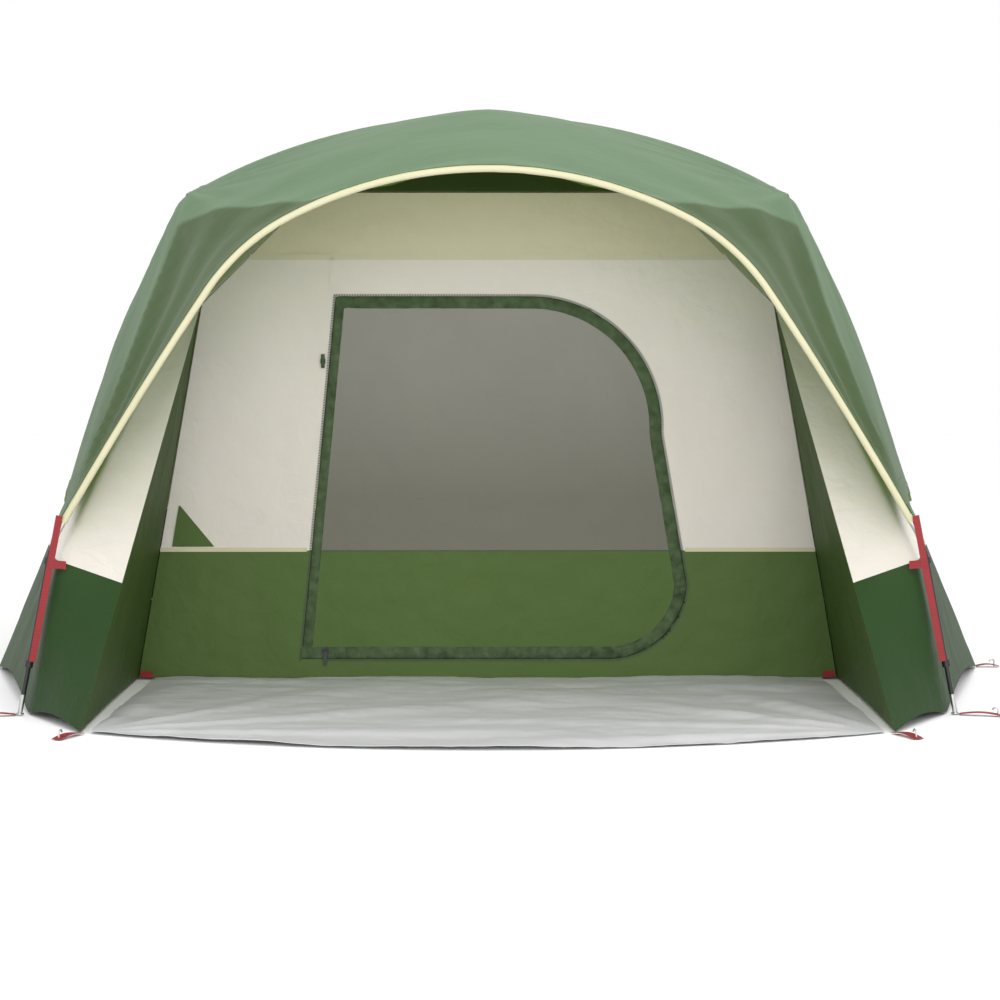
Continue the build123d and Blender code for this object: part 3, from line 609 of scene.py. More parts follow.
fly_plain = raise_hem(fly_grid())
print("fly grid:", fly_plain.shape[0], "rows of", fly_plain.shape[1], "points")

# %% [markdown]
# ## Creases of the fly
# The cloth sags between the poles and has folds that run out from the corners and the shoulders, and
# the two front panels dip between their creases. A sculpt could show that, but rules keep the folds
# where the cloth is pulled: each one adds to the height of the points over the plain grid. Over the
# poles the cloth can't dip at all.

# %% Creases of the fly
SHOULDER_ROW = 40
ARCH_COLUMN = 27
PANEL_TIP = (31, 52)
CREASE_HEIGHT, CREASE_WIDTH = 0.005, 0.04
PANEL_DIP, DIP_REACH = 0.014, 0.10
SAG_COLUMNS, SAG_BIAS = 40, 1.25
ROOF_SAG, FRONT_SAG, FRONT_SAG_Y, FRONT_SAG_REACH = 0.018, 0.016, -0.22, 0.28
POLE_RUN = (MAIN_FOOT_HALF, CROWN_Y - SIDE_Y)
POLE_HOLD, POLE_SPREAD = 0.03, 0.20
FLY_FOLDS = ((3 * MM, (1.0, 0.45, 1.0), 0.30, 1), (2 * MM, (1.0, 0.6, 1.0), 0.11, 2))
CORNER_RAYS = (15, 0.30, 6 * MM)
SHOULDER_RAYS = (9, 0.16, 5 * MM)
SHOULDER_ROWS = (44, 96)
EDGE_ROWS = 5


def ray_creases(along, across, anchor, count, reach, height, phase):
    """Creases that run out from a point where the cloth is pulled."""
    step_along, step_across = along - anchor[0], across - anchor[1]
    far = np.hypot(step_along, step_across) / reach
    return height * np.cos(count * np.arctan2(step_across, step_along) + phase) * far * np.exp(1 - far)


def spread(grid):
    """Flat coordinates of the fly: along the tent, and over the cloth from its middle line."""
    steps = np.linalg.norm(np.diff(grid, axis=1), axis=2)
    reach = np.concatenate([np.zeros((len(grid), 1)), np.cumsum(steps, axis=1)], axis=1)
    return grid[:, :, 1], reach - reach[:, MIDDLE:MIDDLE + 1]


def beside_line(along, across, first, last):
    """Distance to the far side of a line in flat coordinates."""
    run = np.subtract(last, first)
    return (run[0] * (across - first[1]) - run[1] * (along - first[0])) / np.hypot(*run)


def front_panels(along, across):
    """Distance inside the front panels, which lie between the arch and two creases from each shoulder."""
    over = np.abs(across)
    row, column = PANEL_TIP
    arch = (along[0, 0], across[0, MIDDLE + ARCH_COLUMN])
    tip = (along[row, 0], across[row, MIDDLE + column])
    corner = (along[0, 0], across[0, -1])
    return np.minimum(beside_line(along, over, arch, tip), beside_line(along, over, tip, corner))


def roof_sag(along):
    """How far the cloth hangs between its ridge and its shoulders, most in front of the crossing poles."""
    columns = np.minimum(np.abs(np.arange(along.shape[1]) - MIDDLE) / SAG_COLUMNS, 1.0)
    shape = np.sin(np.pi * columns ** SAG_BIAS)[None]
    return shape * (ROOF_SAG + FRONT_SAG * np.exp(-((along - FRONT_SAG_Y) / FRONT_SAG_REACH) ** 2))


def held_by_poles(grid):
    """Share of a dip that the cloth may have, none over the crossing poles and all of it well beside them."""
    over, along = np.abs(grid[:, :, 0]), np.abs(grid[:, :, 1] - CROWN_Y)
    beside = np.abs(over * POLE_RUN[1] - along * POLE_RUN[0]) / math.hypot(*POLE_RUN)
    share = np.clip((beside - POLE_HOLD) / POLE_SPREAD, 0, 1)
    return share ** 2 * (3 - 2 * share)


def fly_creases(grid, panels):
    """How far each point of the fly stands off its plain shape."""
    along, across = spread(grid)
    height = -roof_sag(along)
    for tall, stretch, size, seed in FLY_FOLDS:
        height += tall * noise_at(grid * stretch, size, seed)
    for side in (-1, 1):
        corner = (along[0, 0], side * across[0, -1])
        height += ray_creases(along, across, corner, *CORNER_RAYS, side)
        for row in SHOULDER_ROWS:
            shoulder = (along[row, 0], side * across[row, MIDDLE + ELBOW])
            height += np.abs(ray_creases(along, across, shoulder, *SHOULDER_RAYS, 2 * side))
    height += CREASE_HEIGHT * np.exp(-np.abs(panels) / CREASE_WIDTH)
    height -= PANEL_DIP * np.clip(panels / DIP_REACH, 0, 1)
    edge = np.minimum(1, np.arange(len(grid)) / EDGE_ROWS)[:, None]
    return np.where(height < 0, height * held_by_poles(grid), height) * edge


fly_panels = front_panels(*spread(fly_plain))
fly_points = fly_plain + grid_normals(fly_plain) * (FLY_OUT + fly_creases(fly_plain, fly_panels))[:, :, None]
fly_piece = grid_sheet("fly_sheet", fly_points, FLY, FLY_INSIDE)
# The distance inside the front panels, kept on the mesh as the mask of the fly's painted shade.
panel_shade_mark = fly_piece.data.attributes.new("front_panel", "FLOAT", "POINT")
panel_shade_mark.data.foreach_set("value", np.tile(fly_panels.ravel(), 2))
settle(fly_piece, ["fly_roof"])

# %% [markdown]
# ## Seams, hem and rear end of the fly
# Flat tapes cover the seams where the roof meets the sides, and a folded hem runs along the bottom
# edge. They could be lines in the material, but a real tape stands off the cloth and shows its edge, so
# each is a thin sheet that follows a column of the fly's own points. The rear end hangs straight down
# from the last section.

# %% Seams, hem and rear end of the fly
SEAM_TAPE = 0.022
HEM_TAPE = 0.030
SEAM_THICK, SEAM_OUT = 0.8 * MM, 1.2 * MM


def fly_line(column, out, first=0):
    """Path along the fly at one column, lifted off its surface, and the direction across it."""
    normals = grid_normals(fly_points)[first:, column]
    across = np.gradient(fly_points, axis=1)[first:, column]
    return fly_points[first:, column] + normals * out, across


def fly_tape(name, column, width, first=0):
    path, across = fly_line(column, SEAM_OUT, first)
    plain = tape(path, across, width)
    piece = grid_sheet(name, plain, FLY, None, SEAM_THICK)
    settle(piece)


for hand, sign in HANDS:
    fly_tape(hand + "_fly_seam", MIDDLE - sign * ELBOW, SEAM_TAPE, SHOULDER_ROW)
    fly_tape(hand + "_fly_hem", MIDDLE - sign * (MIDDLE - 1), HEM_TAPE)

GABLE_Y, GABLE_CROWN = 1.598, 1.439
GABLE_ROWS, GABLE_MARGIN = 40, 2
GABLE_BULGE, GABLE_CALM = 0.02, 4
GABLE_FOLD, GABLE_FOLD_SIZE, GABLE_FOLD_STRETCH = 6 * MM, 0.16, (1, 1, 0.4)
gable_top = fly_section(GABLE_Y, GABLE_CROWN)[GABLE_MARGIN:-GABLE_MARGIN][::-1]
gable_foot = gable_top.copy()
gable_foot[:, 2] = HEM_Z
gable_plain = blend_points(gable_foot, gable_top, GABLE_ROWS)
gable_points = gable_plain.copy()
gable_share = np.linspace(0, 1, GABLE_ROWS)[:, None]
gable_folds = GABLE_FOLD * noise_at(gable_plain * GABLE_FOLD_STRETCH, GABLE_FOLD_SIZE, 3)
gable_bulge = GABLE_BULGE * np.sin(np.pi * gable_share) + gable_folds
gable_points[:, :, 1] += gable_bulge * np.minimum(1, GABLE_CALM * (1 - gable_share))
gable_piece = grid_sheet("rear_fly", gable_points, FLY, FLY_INSIDE)
settle(gable_piece, ["fly_gable"])

# %% [markdown]
# ## Sleeve of the front pole
# A cream tape is folded round the front pole and sewn to the edge of the fly. A curve with a round
# bevel could give the tube, but rings of points along the bow can also be a little uneven, as sewn tape
# is, and their width when cut flat is known.

# %% Sleeve of the front pole
SLEEVE_MIDDLE_R = 7.3 * MM
SLEEVE_SIDES, SLEEVE_STEPS = 14, (40, 40, 40)
SLEEVE_FOLD, SLEEVE_FOLD_SIZE = 0.5 * MM, 0.03


def tube_faces(rows, sides):
    return [
        (row * sides + side, (row + 1) * sides + side,
         (row + 1) * sides + (side + 1) % sides, row * sides + (side + 1) % sides)
        for row in range(rows - 1) for side in range(sides)
    ]


def sleeve_path():
    half = bow_points(cut_bow(FRONT_BENDS, FRONT_HEIGHT - HEM_Z), SLEEVE_STEPS)
    line = both_sides(half)
    return np.stack([line[:, 0], np.full(len(line), FRONT_Y), FRONT_HEIGHT - line[:, 1]], axis=1)


sleeve_line = sleeve_path()
sleeve_along = np.gradient(sleeve_line, axis=0)
sleeve_along /= np.linalg.norm(sleeve_along, axis=1, keepdims=True)
sleeve_up = np.cross(sleeve_along, (0.0, 1.0, 0.0))
turns = np.linspace(0, 2 * np.pi, SLEEVE_SIDES, endpoint=False)
sleeve_rays = (sleeve_up[:, None] * np.cos(turns)[None, :, None]
               + np.array([0.0, 1.0, 0.0]) * np.sin(turns)[None, :, None])
sleeve_skin = sleeve_line[:, None] + sleeve_rays * SLEEVE_MIDDLE_R
sleeve_skin += sleeve_rays * SLEEVE_FOLD * noise_at(sleeve_skin, SLEEVE_FOLD_SIZE, 4)[:, :, None]
sleeve_piece = thick_sheet("front_pole_sleeve", sleeve_skin.reshape(-1, 3),
                           tube_faces(len(sleeve_line), SLEEVE_SIDES), sleeve_rays.reshape(-1, 3), PIPING)
settle(sleeve_piece, ["front_sleeve"])

# %% [markdown]
# ## Cabin sides, rear wall, roof and floor
# The lower band of each wall is green and the upper part cream. A cloth simulation could hang them, but
# a pitched wall is nearly flat and has to come out the same in each run, so each panel is a grid
# between two lines, with a little slack between its seams. The mesh roof narrows from the tops of the
# walls to the crown.

# %% Cabin sides, rear wall, roof and floor
REAR_Y = 1.650
SIDE_TOP = 1.150
SIDE_HALF, SIDE_TOP_HALF = 1.240, 0.760
REAR_FORWARD = 0.200
BAND_TOP = 0.320
FOOT = 2.4 * MM
CABIN_PEAK = 1.440
WALL_STEPS = (60, 26)
WALL_SLACK, WALL_FOLD, WALL_FOLD_SIZE = 0.010, 5 * MM, 0.22
SEAM_LAP = 2 * MM


def side_x(z):
    return SIDE_HALF + (SIDE_TOP_HALF - SIDE_HALF) * z / SIDE_TOP


def rear_y(z):
    return REAR_Y - REAR_FORWARD * z / SIDE_TOP


def sag(points, outward, depth, seed):
    """Slack in the middle of a panel and soft creases, with the edges left where they are."""
    rows, columns = points.shape[:2]
    down = np.sin(np.pi * np.linspace(0, 1, rows))[:, None]
    across = np.sin(np.pi * np.linspace(0, 1, columns))[None]
    folds = WALL_FOLD * noise_at(points, WALL_FOLD_SIZE, seed) * np.sqrt(down * across)
    return points + np.array(outward, float) * (folds - depth * down * across)[:, :, None]


def wall_panel(name, corner_at, low, high, outward, material, node, seed):
    """A panel between two heights; corner_at gives both ends of its line at a height."""
    columns, rows = WALL_STEPS
    plain = blend_points(polyline(corner_at(low), columns), polyline(corner_at(high), columns), rows)
    piece = grid_sheet(name, sag(plain, outward, WALL_SLACK, seed), material)
    settle(piece, [node])


for hand, sign in HANDS:
    def side_line(z, sign=sign):
        return [(sign * side_x(z), SIDE_Y, z), (sign * side_x(z), rear_y(z) - SEAM_LAP, z)]

    wall_panel(hand + "_side_band", side_line, FOOT, BAND_TOP - MM, (sign, 0, 0), WING_GREEN,
               hand + "_side_lower", 5)
    wall_panel(hand + "_side_wall", side_line, BAND_TOP, SIDE_TOP, (sign, 0, 0), CREAM,
               hand + "_side_upper", 6)


def rear_line(z):
    return [(-side_x(z), rear_y(z) + SEAM_LAP, z), (side_x(z), rear_y(z) + SEAM_LAP, z)]


wall_panel("rear_band", rear_line, FOOT, BAND_TOP - MM, (0, 1, 0), WING_GREEN, "rear_lower", 7)
wall_panel("rear_wall", rear_line, BAND_TOP, SIDE_TOP, (0, 1, 0), CREAM, "rear_upper", 8)

WALL_Y = -0.625
WALL_TOP = 1.205
WALL_FOOT_HALF, WALL_TOP_HALF = 0.870, 0.430
ROOF_STEPS, ROOF_TIP, ROOF_HANG = (160, 30), 0.98, 0.03
roof_corners = [
    (WALL_TOP_HALF, WALL_Y, WALL_TOP), (SIDE_TOP_HALF, SIDE_Y, SIDE_TOP),
    (SIDE_TOP_HALF, rear_y(SIDE_TOP), SIDE_TOP), (-SIDE_TOP_HALF, rear_y(SIDE_TOP), SIDE_TOP),
    (-SIDE_TOP_HALF, SIDE_Y, SIDE_TOP), (-WALL_TOP_HALF, WALL_Y, WALL_TOP), (WALL_TOP_HALF, WALL_Y, WALL_TOP),
]
roof_edge = polyline(roof_corners, ROOF_STEPS[0]) + (0, 0, SEAM_LAP)
roof_plain = blend_points(roof_edge, towards(roof_edge, (0, CROWN_Y, CABIN_PEAK), ROOF_TIP), ROOF_STEPS[1])
roof_points = roof_plain.copy()
roof_points[:, :, 2] -= ROOF_HANG * np.sin(np.pi * np.linspace(0, 1, ROOF_STEPS[1]))[:, None]
roof_piece = grid_sheet("mesh_roof", roof_points, MESH_GREY)
settle(roof_piece, ["cabin_roof"])

FLOOR_STEPS, FLOOR_THICK = (30, 40), 1.6 * MM
floor_y = np.array([WALL_Y, SIDE_Y, REAR_Y])
floor_half = np.array([WALL_FOOT_HALF, SIDE_HALF, SIDE_HALF])
floor_rows = np.unique(np.concatenate([np.linspace(WALL_Y, REAR_Y, FLOOR_STEPS[1]), floor_y]))
floor_shares = np.linspace(-1, 1, FLOOR_STEPS[0])
floor_plain = np.array([[(share * np.interp(y, floor_y, floor_half), y, MM) for share in floor_shares]
                        for y in floor_rows])
floor_piece = grid_sheet("cabin_floor_sheet", floor_plain, FLOOR_GREY, None, FLOOR_THICK)
settle(floor_piece, ["cabin_floor"])

# %% [markdown]
# ## Outline of the door
# The door is a large D: a straight hinge on the left, a long arc over its crown and a rounder heel at
# the lower right. It could be traced as a curve object, but the wall, the door, its binding and its zip
# all need the same line, so it is worked out once from its two arcs, and moved in or out for each of
# them.

# %% Outline of the door
ZIP_GAP = 0.8 * MM
BINDING_WIDTH = 0.030
HINGE_FOOT, HINGE_TOP = (-0.464, 0.050), (-0.377, 0.950)
CROWN_ARC = {"centre": (0.107, 0.6266), "radius": 0.3234, "start": 90.0, "end": -2.9}
HEEL_ARC = {"centre": (0.300, 0.2442), "radius": 0.1942, "start": -2.4, "end": -90.0}
LOOP_STEP, ARC_STEPS = 0.012, 24
MITRE_LIMIT = 0.4
PANEL_EDGE = 0.6 * BINDING_WIDTH


def arc_points(arc):
    turns = np.radians(np.linspace(arc["start"], arc["end"], ARC_STEPS))
    centre = np.array(arc["centre"])
    return centre + arc["radius"] * np.stack([np.cos(turns), np.sin(turns)], axis=1)


def zip_run():
    """The door's edge that the zip runs along, from the top of the hinge to its foot."""
    return np.concatenate([[HINGE_TOP], arc_points(CROWN_ARC), arc_points(HEEL_ARC), [HINGE_FOOT]])


def door_loop():
    """Outline of the door in the wall's plane: up the hinge, over the crown and back to the hinge."""
    corners = np.concatenate([[HINGE_FOOT], zip_run()])
    marks = path_marks(corners)
    at = np.linspace(0, marks[-1], int(marks[-1] / LOOP_STEP), endpoint=False)
    return points_along(corners, np.unique(np.concatenate([at, marks[1:2]])))


def inset_loop(loop, step):
    """The loop moved inwards by a step, with mitred corners."""
    before, after = loop - np.roll(loop, 1, axis=0), np.roll(loop, -1, axis=0) - loop
    inward = []
    for run in (before, after):
        run = run / np.linalg.norm(run, axis=1, keepdims=True)
        inward.append(np.stack([run[:, 1], -run[:, 0]], axis=1))
    middle = inward[0] + inward[1]
    middle /= np.linalg.norm(middle, axis=1, keepdims=True)
    reach = step / np.maximum(MITRE_LIMIT, (middle * inward[1]).sum(axis=1))
    return loop + middle * reach[:, None]


def inside_loop(points, loop):
    """Whether each point lies inside the loop, by counting the sides that a ray crosses."""
    x, z = points[:, 0][:, None], points[:, 1][:, None]
    first, last = loop[None], np.roll(loop, -1, axis=0)[None]
    level = (first[..., 1] > z) != (last[..., 1] > z)
    rise = last[..., 1] - first[..., 1]
    slope = (last[..., 0] - first[..., 0]) / np.where(rise == 0, 1, rise)
    return (level & (x < first[..., 0] + slope * (z - first[..., 1]))).sum(axis=1) % 2 == 1


def nearest_on_loop(points, loop):
    """Nearest point of the loop and its distance."""
    first, run = loop[None], (np.roll(loop, -1, axis=0) - loop)[None]
    share = ((points[:, None] - first) * run).sum(axis=2) / (run ** 2).sum(axis=2)
    spots = first + np.clip(share, 0, 1)[..., None] * run
    distances = np.linalg.norm(points[:, None] - spots, axis=2)
    best = distances.argmin(axis=1)
    rows = np.arange(len(points))
    return spots[rows, best], distances[rows, best]


DOOR_LOOP = door_loop()
OPENING_LOOP = inset_loop(DOOR_LOOP, -ZIP_GAP)
PANEL_LOOP = inset_loop(DOOR_LOOP, PANEL_EDGE)
print("door loop of", len(DOOR_LOOP), "points, %.2f m round" % path_marks(DOOR_LOOP)[-1])

# %% [markdown]
# ## Door wall
# The wall in the porch is flat, with a large D cut out for the door. It could be cut with a boolean,
# but that leaves long thin faces that can't crease, so a fine grid is used: its points next to the D
# move onto the D's line, and the faces inside it are left out.

# %% Door wall
WALL_CELL = 0.009
SNAP = 0.6 * WALL_CELL
HEADER_FOOT, HEADER_GAP = 1.047, 0.4 * MM
WALL_BEND, WALL_BEND_HALF = 0.930, 0.708
CUT_CALM, END_CALM = 0.06, 0.03
DOOR_WALL_FOLD = 4.5 * MM
UPRIGHT_FOLDS = (1.0, 1.0, 0.45)
BROAD_FOLD_SIZE, FINE_FOLD_SIZE, FINE_FOLD_SHARE = 0.12, 0.05, 0.5


def wall_half(z):
    return np.interp(z, [0.0, WALL_BEND, WALL_TOP], [WALL_FOOT_HALF, WALL_BEND_HALF, WALL_TOP_HALF])


def flat_grid(low, high, half_at):
    """Grid in the wall's plane between two heights."""
    rows = int((high - low) / WALL_CELL) + 2
    columns = int(2 * half_at(low) / WALL_CELL) + 2
    heights = np.linspace(low, high, rows)
    shares = np.linspace(-1, 1, columns)
    return np.array([[(share * half_at(z), z) for share in shares] for z in heights])


def cut_grid(grid, loop, keep_inside):
    """Moves points next to the loop onto it and keeps the faces on one side."""
    rows, columns = grid.shape[:2]
    flat = grid.reshape(-1, 2).copy()
    spots, distances = nearest_on_loop(flat, loop)
    near = distances < SNAP
    flat[near] = spots[near]
    faces = grid_faces(rows, columns)
    centres = flat[np.array(faces)].mean(axis=1)
    kept = inside_loop(centres, loop) == keep_inside
    return flat, [face for face, keep in zip(faces, kept) if keep], distances


def upright(flat, y=WALL_Y):
    return np.stack([flat[:, 0], np.full(len(flat), y), flat[:, 1]], axis=1)


def panel_area(flat, faces):
    corners = flat[np.array(faces)]
    x, z = corners[..., 0], corners[..., 1]
    return float(np.abs((x * np.roll(z, -1, axis=1) - z * np.roll(x, -1, axis=1)).sum(axis=1)).sum() / 2)


def wall_sheet(name, low, high, half_at, loop, keep_inside, material, depth, seed):
    """A panel in the wall's plane that creases a little, but not along its cut edge."""
    grid = flat_grid(low, high, half_at)
    flat, faces, distances = cut_grid(grid, loop, keep_inside)
    points = upright(flat)
    ends = np.minimum(flat[:, 1] - low, high - flat[:, 1])
    calm = np.clip(distances / CUT_CALM, 0, 1) * np.clip(ends / END_CALM, 0, 1)
    broad = noise_at(points * UPRIGHT_FOLDS, BROAD_FOLD_SIZE, seed)
    fine = noise_at(points, FINE_FOLD_SIZE, seed + 1)
    points[:, 1] += depth * (broad + FINE_FOLD_SHARE * fine) * calm
    normals = np.broadcast_to(np.array([0.0, -1.0, 0.0]), points.shape)
    faces = [face[::-1] for face in faces]
    area = panel_area(flat, faces)
    used = flat[np.unique(np.array(faces))]
    width, height = used.max(axis=0) - used.min(axis=0)
    return thick_sheet(name, points, faces, normals, material), (float(width), float(height)), area


def wall_pieces(rows, half_at, loop, keep_inside, depth, seed, body):
    """Makes panels in the wall's plane, one above the other."""
    for name, low, high, material, slot, node in rows:
        piece, flat, area = wall_sheet(name, low, high, half_at, loop, keep_inside, material, depth, seed)
        settle(piece, [node], body)
        print(name, "cut to %.2f x %.2f m" % flat)


WALLS = (
    ("door_wall_band", FOOT, BAND_TOP - MM, BAND_GREEN, "green_cloth", "front_lower"),
    ("door_wall", BAND_TOP, HEADER_FOOT - HEADER_GAP, CREAM, "cream_cloth", "front_upper"),
    ("door_wall_header", HEADER_FOOT, WALL_TOP, HEADER_CREAM_PAINTED_SHADE, "cream_cloth", "front_header"),
)
wall_pieces(WALLS, wall_half, OPENING_LOOP, False, DOOR_WALL_FOLD, 11, "tent")

# %% [markdown]
# ## Door
# Mesh above, green cloth below and a gathered binding round both, all on the door's body. The binding
# could be a curve with a bevel, but that has no folds. It is two flat closed strips instead, one along
# the zip and one along the hinge, whose front puckers across their width, most at the lower right where
# the zip turns.

# %% Door
BINDING_SIDES = 16
BINDING_STEP = 6 * MM
BINDING_HALF_THICK = 2.4 * MM
HINGE_WIDTH, HINGE_TRIM = 24 * MM, 2
PUCKER, PUCKER_BIAS, PUCKER_SLANT = 9 * MM, 0.3, 0.35
PUCKER_SIZES, FINE_PUCKER_SHARE = (0.018, 0.009), 0.6
HEEL, HEEL_REACH = (0.42, 0.14), 0.30
LEAST_PUCKER, MOST_PUCKER = 0.5, 1.5
SLIDER, SLIDER_REACH = (-0.405, 0.066), 0.05
DOOR_FOOT, DOOR_TOP, DOOR_GRID_HALF = 0.060, 0.945, 0.52
DOOR_FOLD = 5.0 * MM


def door_half(z):
    """The door's grid is as wide at every height, and its loop cuts it to shape."""
    return DOOR_GRID_HALF


DOOR_PANELS = (
    ("door_band", DOOR_FOOT, BAND_TOP - MM, BAND_GREEN, "green_cloth", "door_lower"),
    ("door_screen", BAND_TOP, DOOR_TOP, MESH_GREY, "mesh", "door_mesh"),
)
wall_pieces(DOOR_PANELS, door_half, PANEL_LOOP, True, DOOR_FOLD, 15, "door")


def binding_path(corners):
    """Points along a path, a step of the binding apart."""
    return polyline(corners, int(path_marks(corners)[-1] / BINDING_STEP))


def far_from(path, place, reach):
    """Distance of each point of a path from a place, in reaches."""
    return np.hypot(path[:, 0] - place[0], path[:, 1] - place[1]) / reach


def binding_strip(path, width, seed):
    """Rings of points round a flat strip that lies inside a path, with puckers."""
    along = np.gradient(path, axis=0)
    along /= np.linalg.norm(along, axis=1, keepdims=True)
    inward = np.stack([along[:, 1], -along[:, 0]], axis=1)
    turns = np.linspace(0, 2 * np.pi, BINDING_SIDES, endpoint=False)
    wide = np.broadcast_to((1 + np.cos(turns)) * width / 2, (len(path), BINDING_SIDES))
    thick = np.broadcast_to(np.sin(turns) * BINDING_HALF_THICK, wide.shape)
    x, z = (path[:, axis, None] + inward[:, axis, None] * wide for axis in range(2))
    distance = np.broadcast_to(np.arange(len(path))[:, None] * BINDING_STEP, wide.shape)
    stretch = np.stack([distance, wide * PUCKER_SLANT, 0 * wide], axis=2)
    broad, fine = (noise_at(stretch, size, seed + step) for step, size in enumerate(PUCKER_SIZES))
    pucker = broad + FINE_PUCKER_SHARE * fine
    heel = np.clip(MOST_PUCKER - far_from(path, HEEL, HEEL_REACH), LEAST_PUCKER, MOST_PUCKER)
    slider = np.clip(far_from(path, SLIDER, SLIDER_REACH), 0, 1)
    fold = np.maximum(pucker + PUCKER_BIAS, 0) * np.clip(np.sin(turns), 0, 1)[None]
    lift = PUCKER * (heel * slider)[:, None] * fold
    return np.stack([x, WALL_Y - thick - lift, z], axis=2)


def strip_faces(count, first):
    """Faces of a closed strip whose points start at an index."""
    rounds = [
        [first + row * BINDING_SIDES + side for side in range(BINDING_SIDES)] for row in range(count)
    ]
    faces = [
        (low[side], low[(side + 1) % BINDING_SIDES], high[(side + 1) % BINDING_SIDES], high[side])
        for low, high in zip(rounds, rounds[1:]) for side in range(BINDING_SIDES)
    ]
    return faces + [tuple(reversed(rounds[0])), tuple(rounds[-1])]


outer_run = binding_path(zip_run())
hinge_run = binding_path(np.array([HINGE_FOOT, HINGE_TOP]))[HINGE_TRIM:-HINGE_TRIM]
strips = [binding_strip(outer_run, BINDING_WIDTH, 21), binding_strip(hinge_run, HINGE_WIDTH, 23)]
binding_points = np.concatenate([strip.reshape(-1, 3) for strip in strips])
binding_faces = strip_faces(len(outer_run), 0)
binding_faces += strip_faces(len(hinge_run), len(outer_run) * BINDING_SIDES)
binding_piece = make_mesh("door_edge", binding_points, binding_faces, [BINDING_GREEN])
settle(binding_piece, ["door_binding"], "door")

# %% [markdown]
# ## Flap
# A small triangular flap covers a hole for a cable. It lies just in front of the wall. It could be a
# single triangle, but rows of points that narrow to the tip take the same thickness and rim as the other
# cloth.

# %% Flap
FLAP_FOOT, FLAP_LEFT, FLAP_WIDTH, FLAP_HEIGHT = 0.330, -0.785, 0.105, 0.105
FLAP_LEAN = 0.0183
FLAP_Y = WALL_Y - 2.4 * MM
FLAP_STEPS, FLAP_POINT = 16, 0.97
flap_tip = (FLAP_LEFT + FLAP_LEAN, FLAP_Y, FLAP_FOOT + FLAP_HEIGHT)
flap_ends = [(FLAP_LEFT, FLAP_Y, FLAP_FOOT), (FLAP_LEFT + FLAP_WIDTH, FLAP_Y, FLAP_FOOT)]
flap_foot = polyline(flap_ends, FLAP_STEPS)
flap_plain = blend_points(flap_foot, towards(flap_foot, flap_tip, FLAP_POINT), FLAP_STEPS)
flap_piece = grid_sheet("cable_flap_cloth", flap_plain, BAND_GREEN)
settle(flap_piece, ["cable_flap"], "flap")

# %% [markdown]
# ## Wings
# A wing has three panels on each side: a green strip that runs from the toe up beside the porch, a
# green band with a hem that rises between its pegs, and a cream panel above with a gusset at its top.
# They could be sculpted as one mesh, but the real ones are sewn from flat cloth, so each panel is
# stretched between the points that hold it. The band and the cream panel bend where the front pole
# pushes on them, and fold round the main pole to the side wall.

# %% Wings
TOE = (0.850, -1.565, FOOT)
PEAK = (0.7104, -0.625, 0.930)
WING_TAB = 0.340
POLE_SEAT_IN, POLE_SEAT_BACK = 16.0 * MM, 11.0 * MM
MAIN_BAND_HALF, POLE_COVER = 1.131, 7.0 * MM
BAND_SHARE = 0.31
INNER_HALF, TOP_LAP = 0.8724, 2.4 * MM
WING_STEPS = (30, 50)
RETURN_STEPS = 5
WING_SMOOTHING = 6


def wing_corners(sign):
    """The points that hold the panels of one wing."""
    behind = FRONT_Y + POLE_SEAT_BACK
    corners = {
        "toe": TOE,
        "peak": PEAK,
        "foot": (pole_x(FOOT) - POLE_SEAT_IN, behind, FOOT),
        "tab": (pole_x(WING_TAB) - POLE_SEAT_IN, behind, WING_TAB),
        "band": tuple(np.array(TOE) + BAND_SHARE * (np.array(PEAK) - np.array(TOE))),
        "inner": (INNER_HALF, WALL_Y, FOOT),
        "corner": (MAIN_FOOT_HALF + POLE_COVER, SIDE_Y - 2 * POLE_COVER, FOOT),
        "corner_band": (MAIN_BAND_HALF + POLE_COVER, SIDE_Y - 2 * POLE_COVER, BAND_TOP),
        "wall_foot": (SIDE_HALF, SIDE_Y - SEAM_LAP, FOOT),
        "wall_band": (side_x(BAND_TOP), SIDE_Y - SEAM_LAP, BAND_TOP),
        "side_top": (SIDE_TOP_HALF, SIDE_Y - SEAM_LAP, SIDE_TOP),
        "wall_top": (WALL_TOP_HALF + TOP_LAP, WALL_Y, WALL_TOP),
    }
    return {name: np.array(place) * (sign, 1, 1) for name, place in corners.items()}


def two_runs(first, middle, last):
    """Points along two straight runs that meet at a fold, with the fold rounded."""
    one = polyline([first, middle], WING_STEPS[0])
    two = polyline([middle, last], WING_STEPS[1])
    return smooth_path(np.concatenate([one, two[1:]]), WING_SMOOTHING)


def fold_back(line, end):
    """Takes a panel round the front of the main pole, back to the edge of the side wall."""
    return np.concatenate([line, polyline([line[-1], end], RETURN_STEPS)[1:]])


print("wing from its toe at", TOE, "to its peak at", PEAK)

# %% [markdown]
# ## Panels of the wings
# Each panel is a grid between two of those lines, with soft folds, and with rays from the corner that a
# peg pulls on. A displacement modifier could make the folds, but it would part the panels at their
# seams. Here the folds die out at each edge, so that neighbouring panels stay joined.

# %% Panels of the wings
WING_HEM_RISES = (0.016, 0.034)
BAND_ROWS, CLOTH_ROWS, GUSSET_ROWS = 26, 56, 20
STRIP_STEPS, STRIP_RISE = 44, 6 * MM
GUSSET_POINT, STRIP_POINT = 0.97, 0.98
WING_FOLD, STRIP_FOLD = 5 * MM, 6 * MM
WING_FOLD_SIZES, WING_FINE_SHARE = (0.15, 0.06), 0.5
BAND_PULL, STRIP_PULL = (0, 0, 9, 0.15), (0, 0, 7, 0.20)


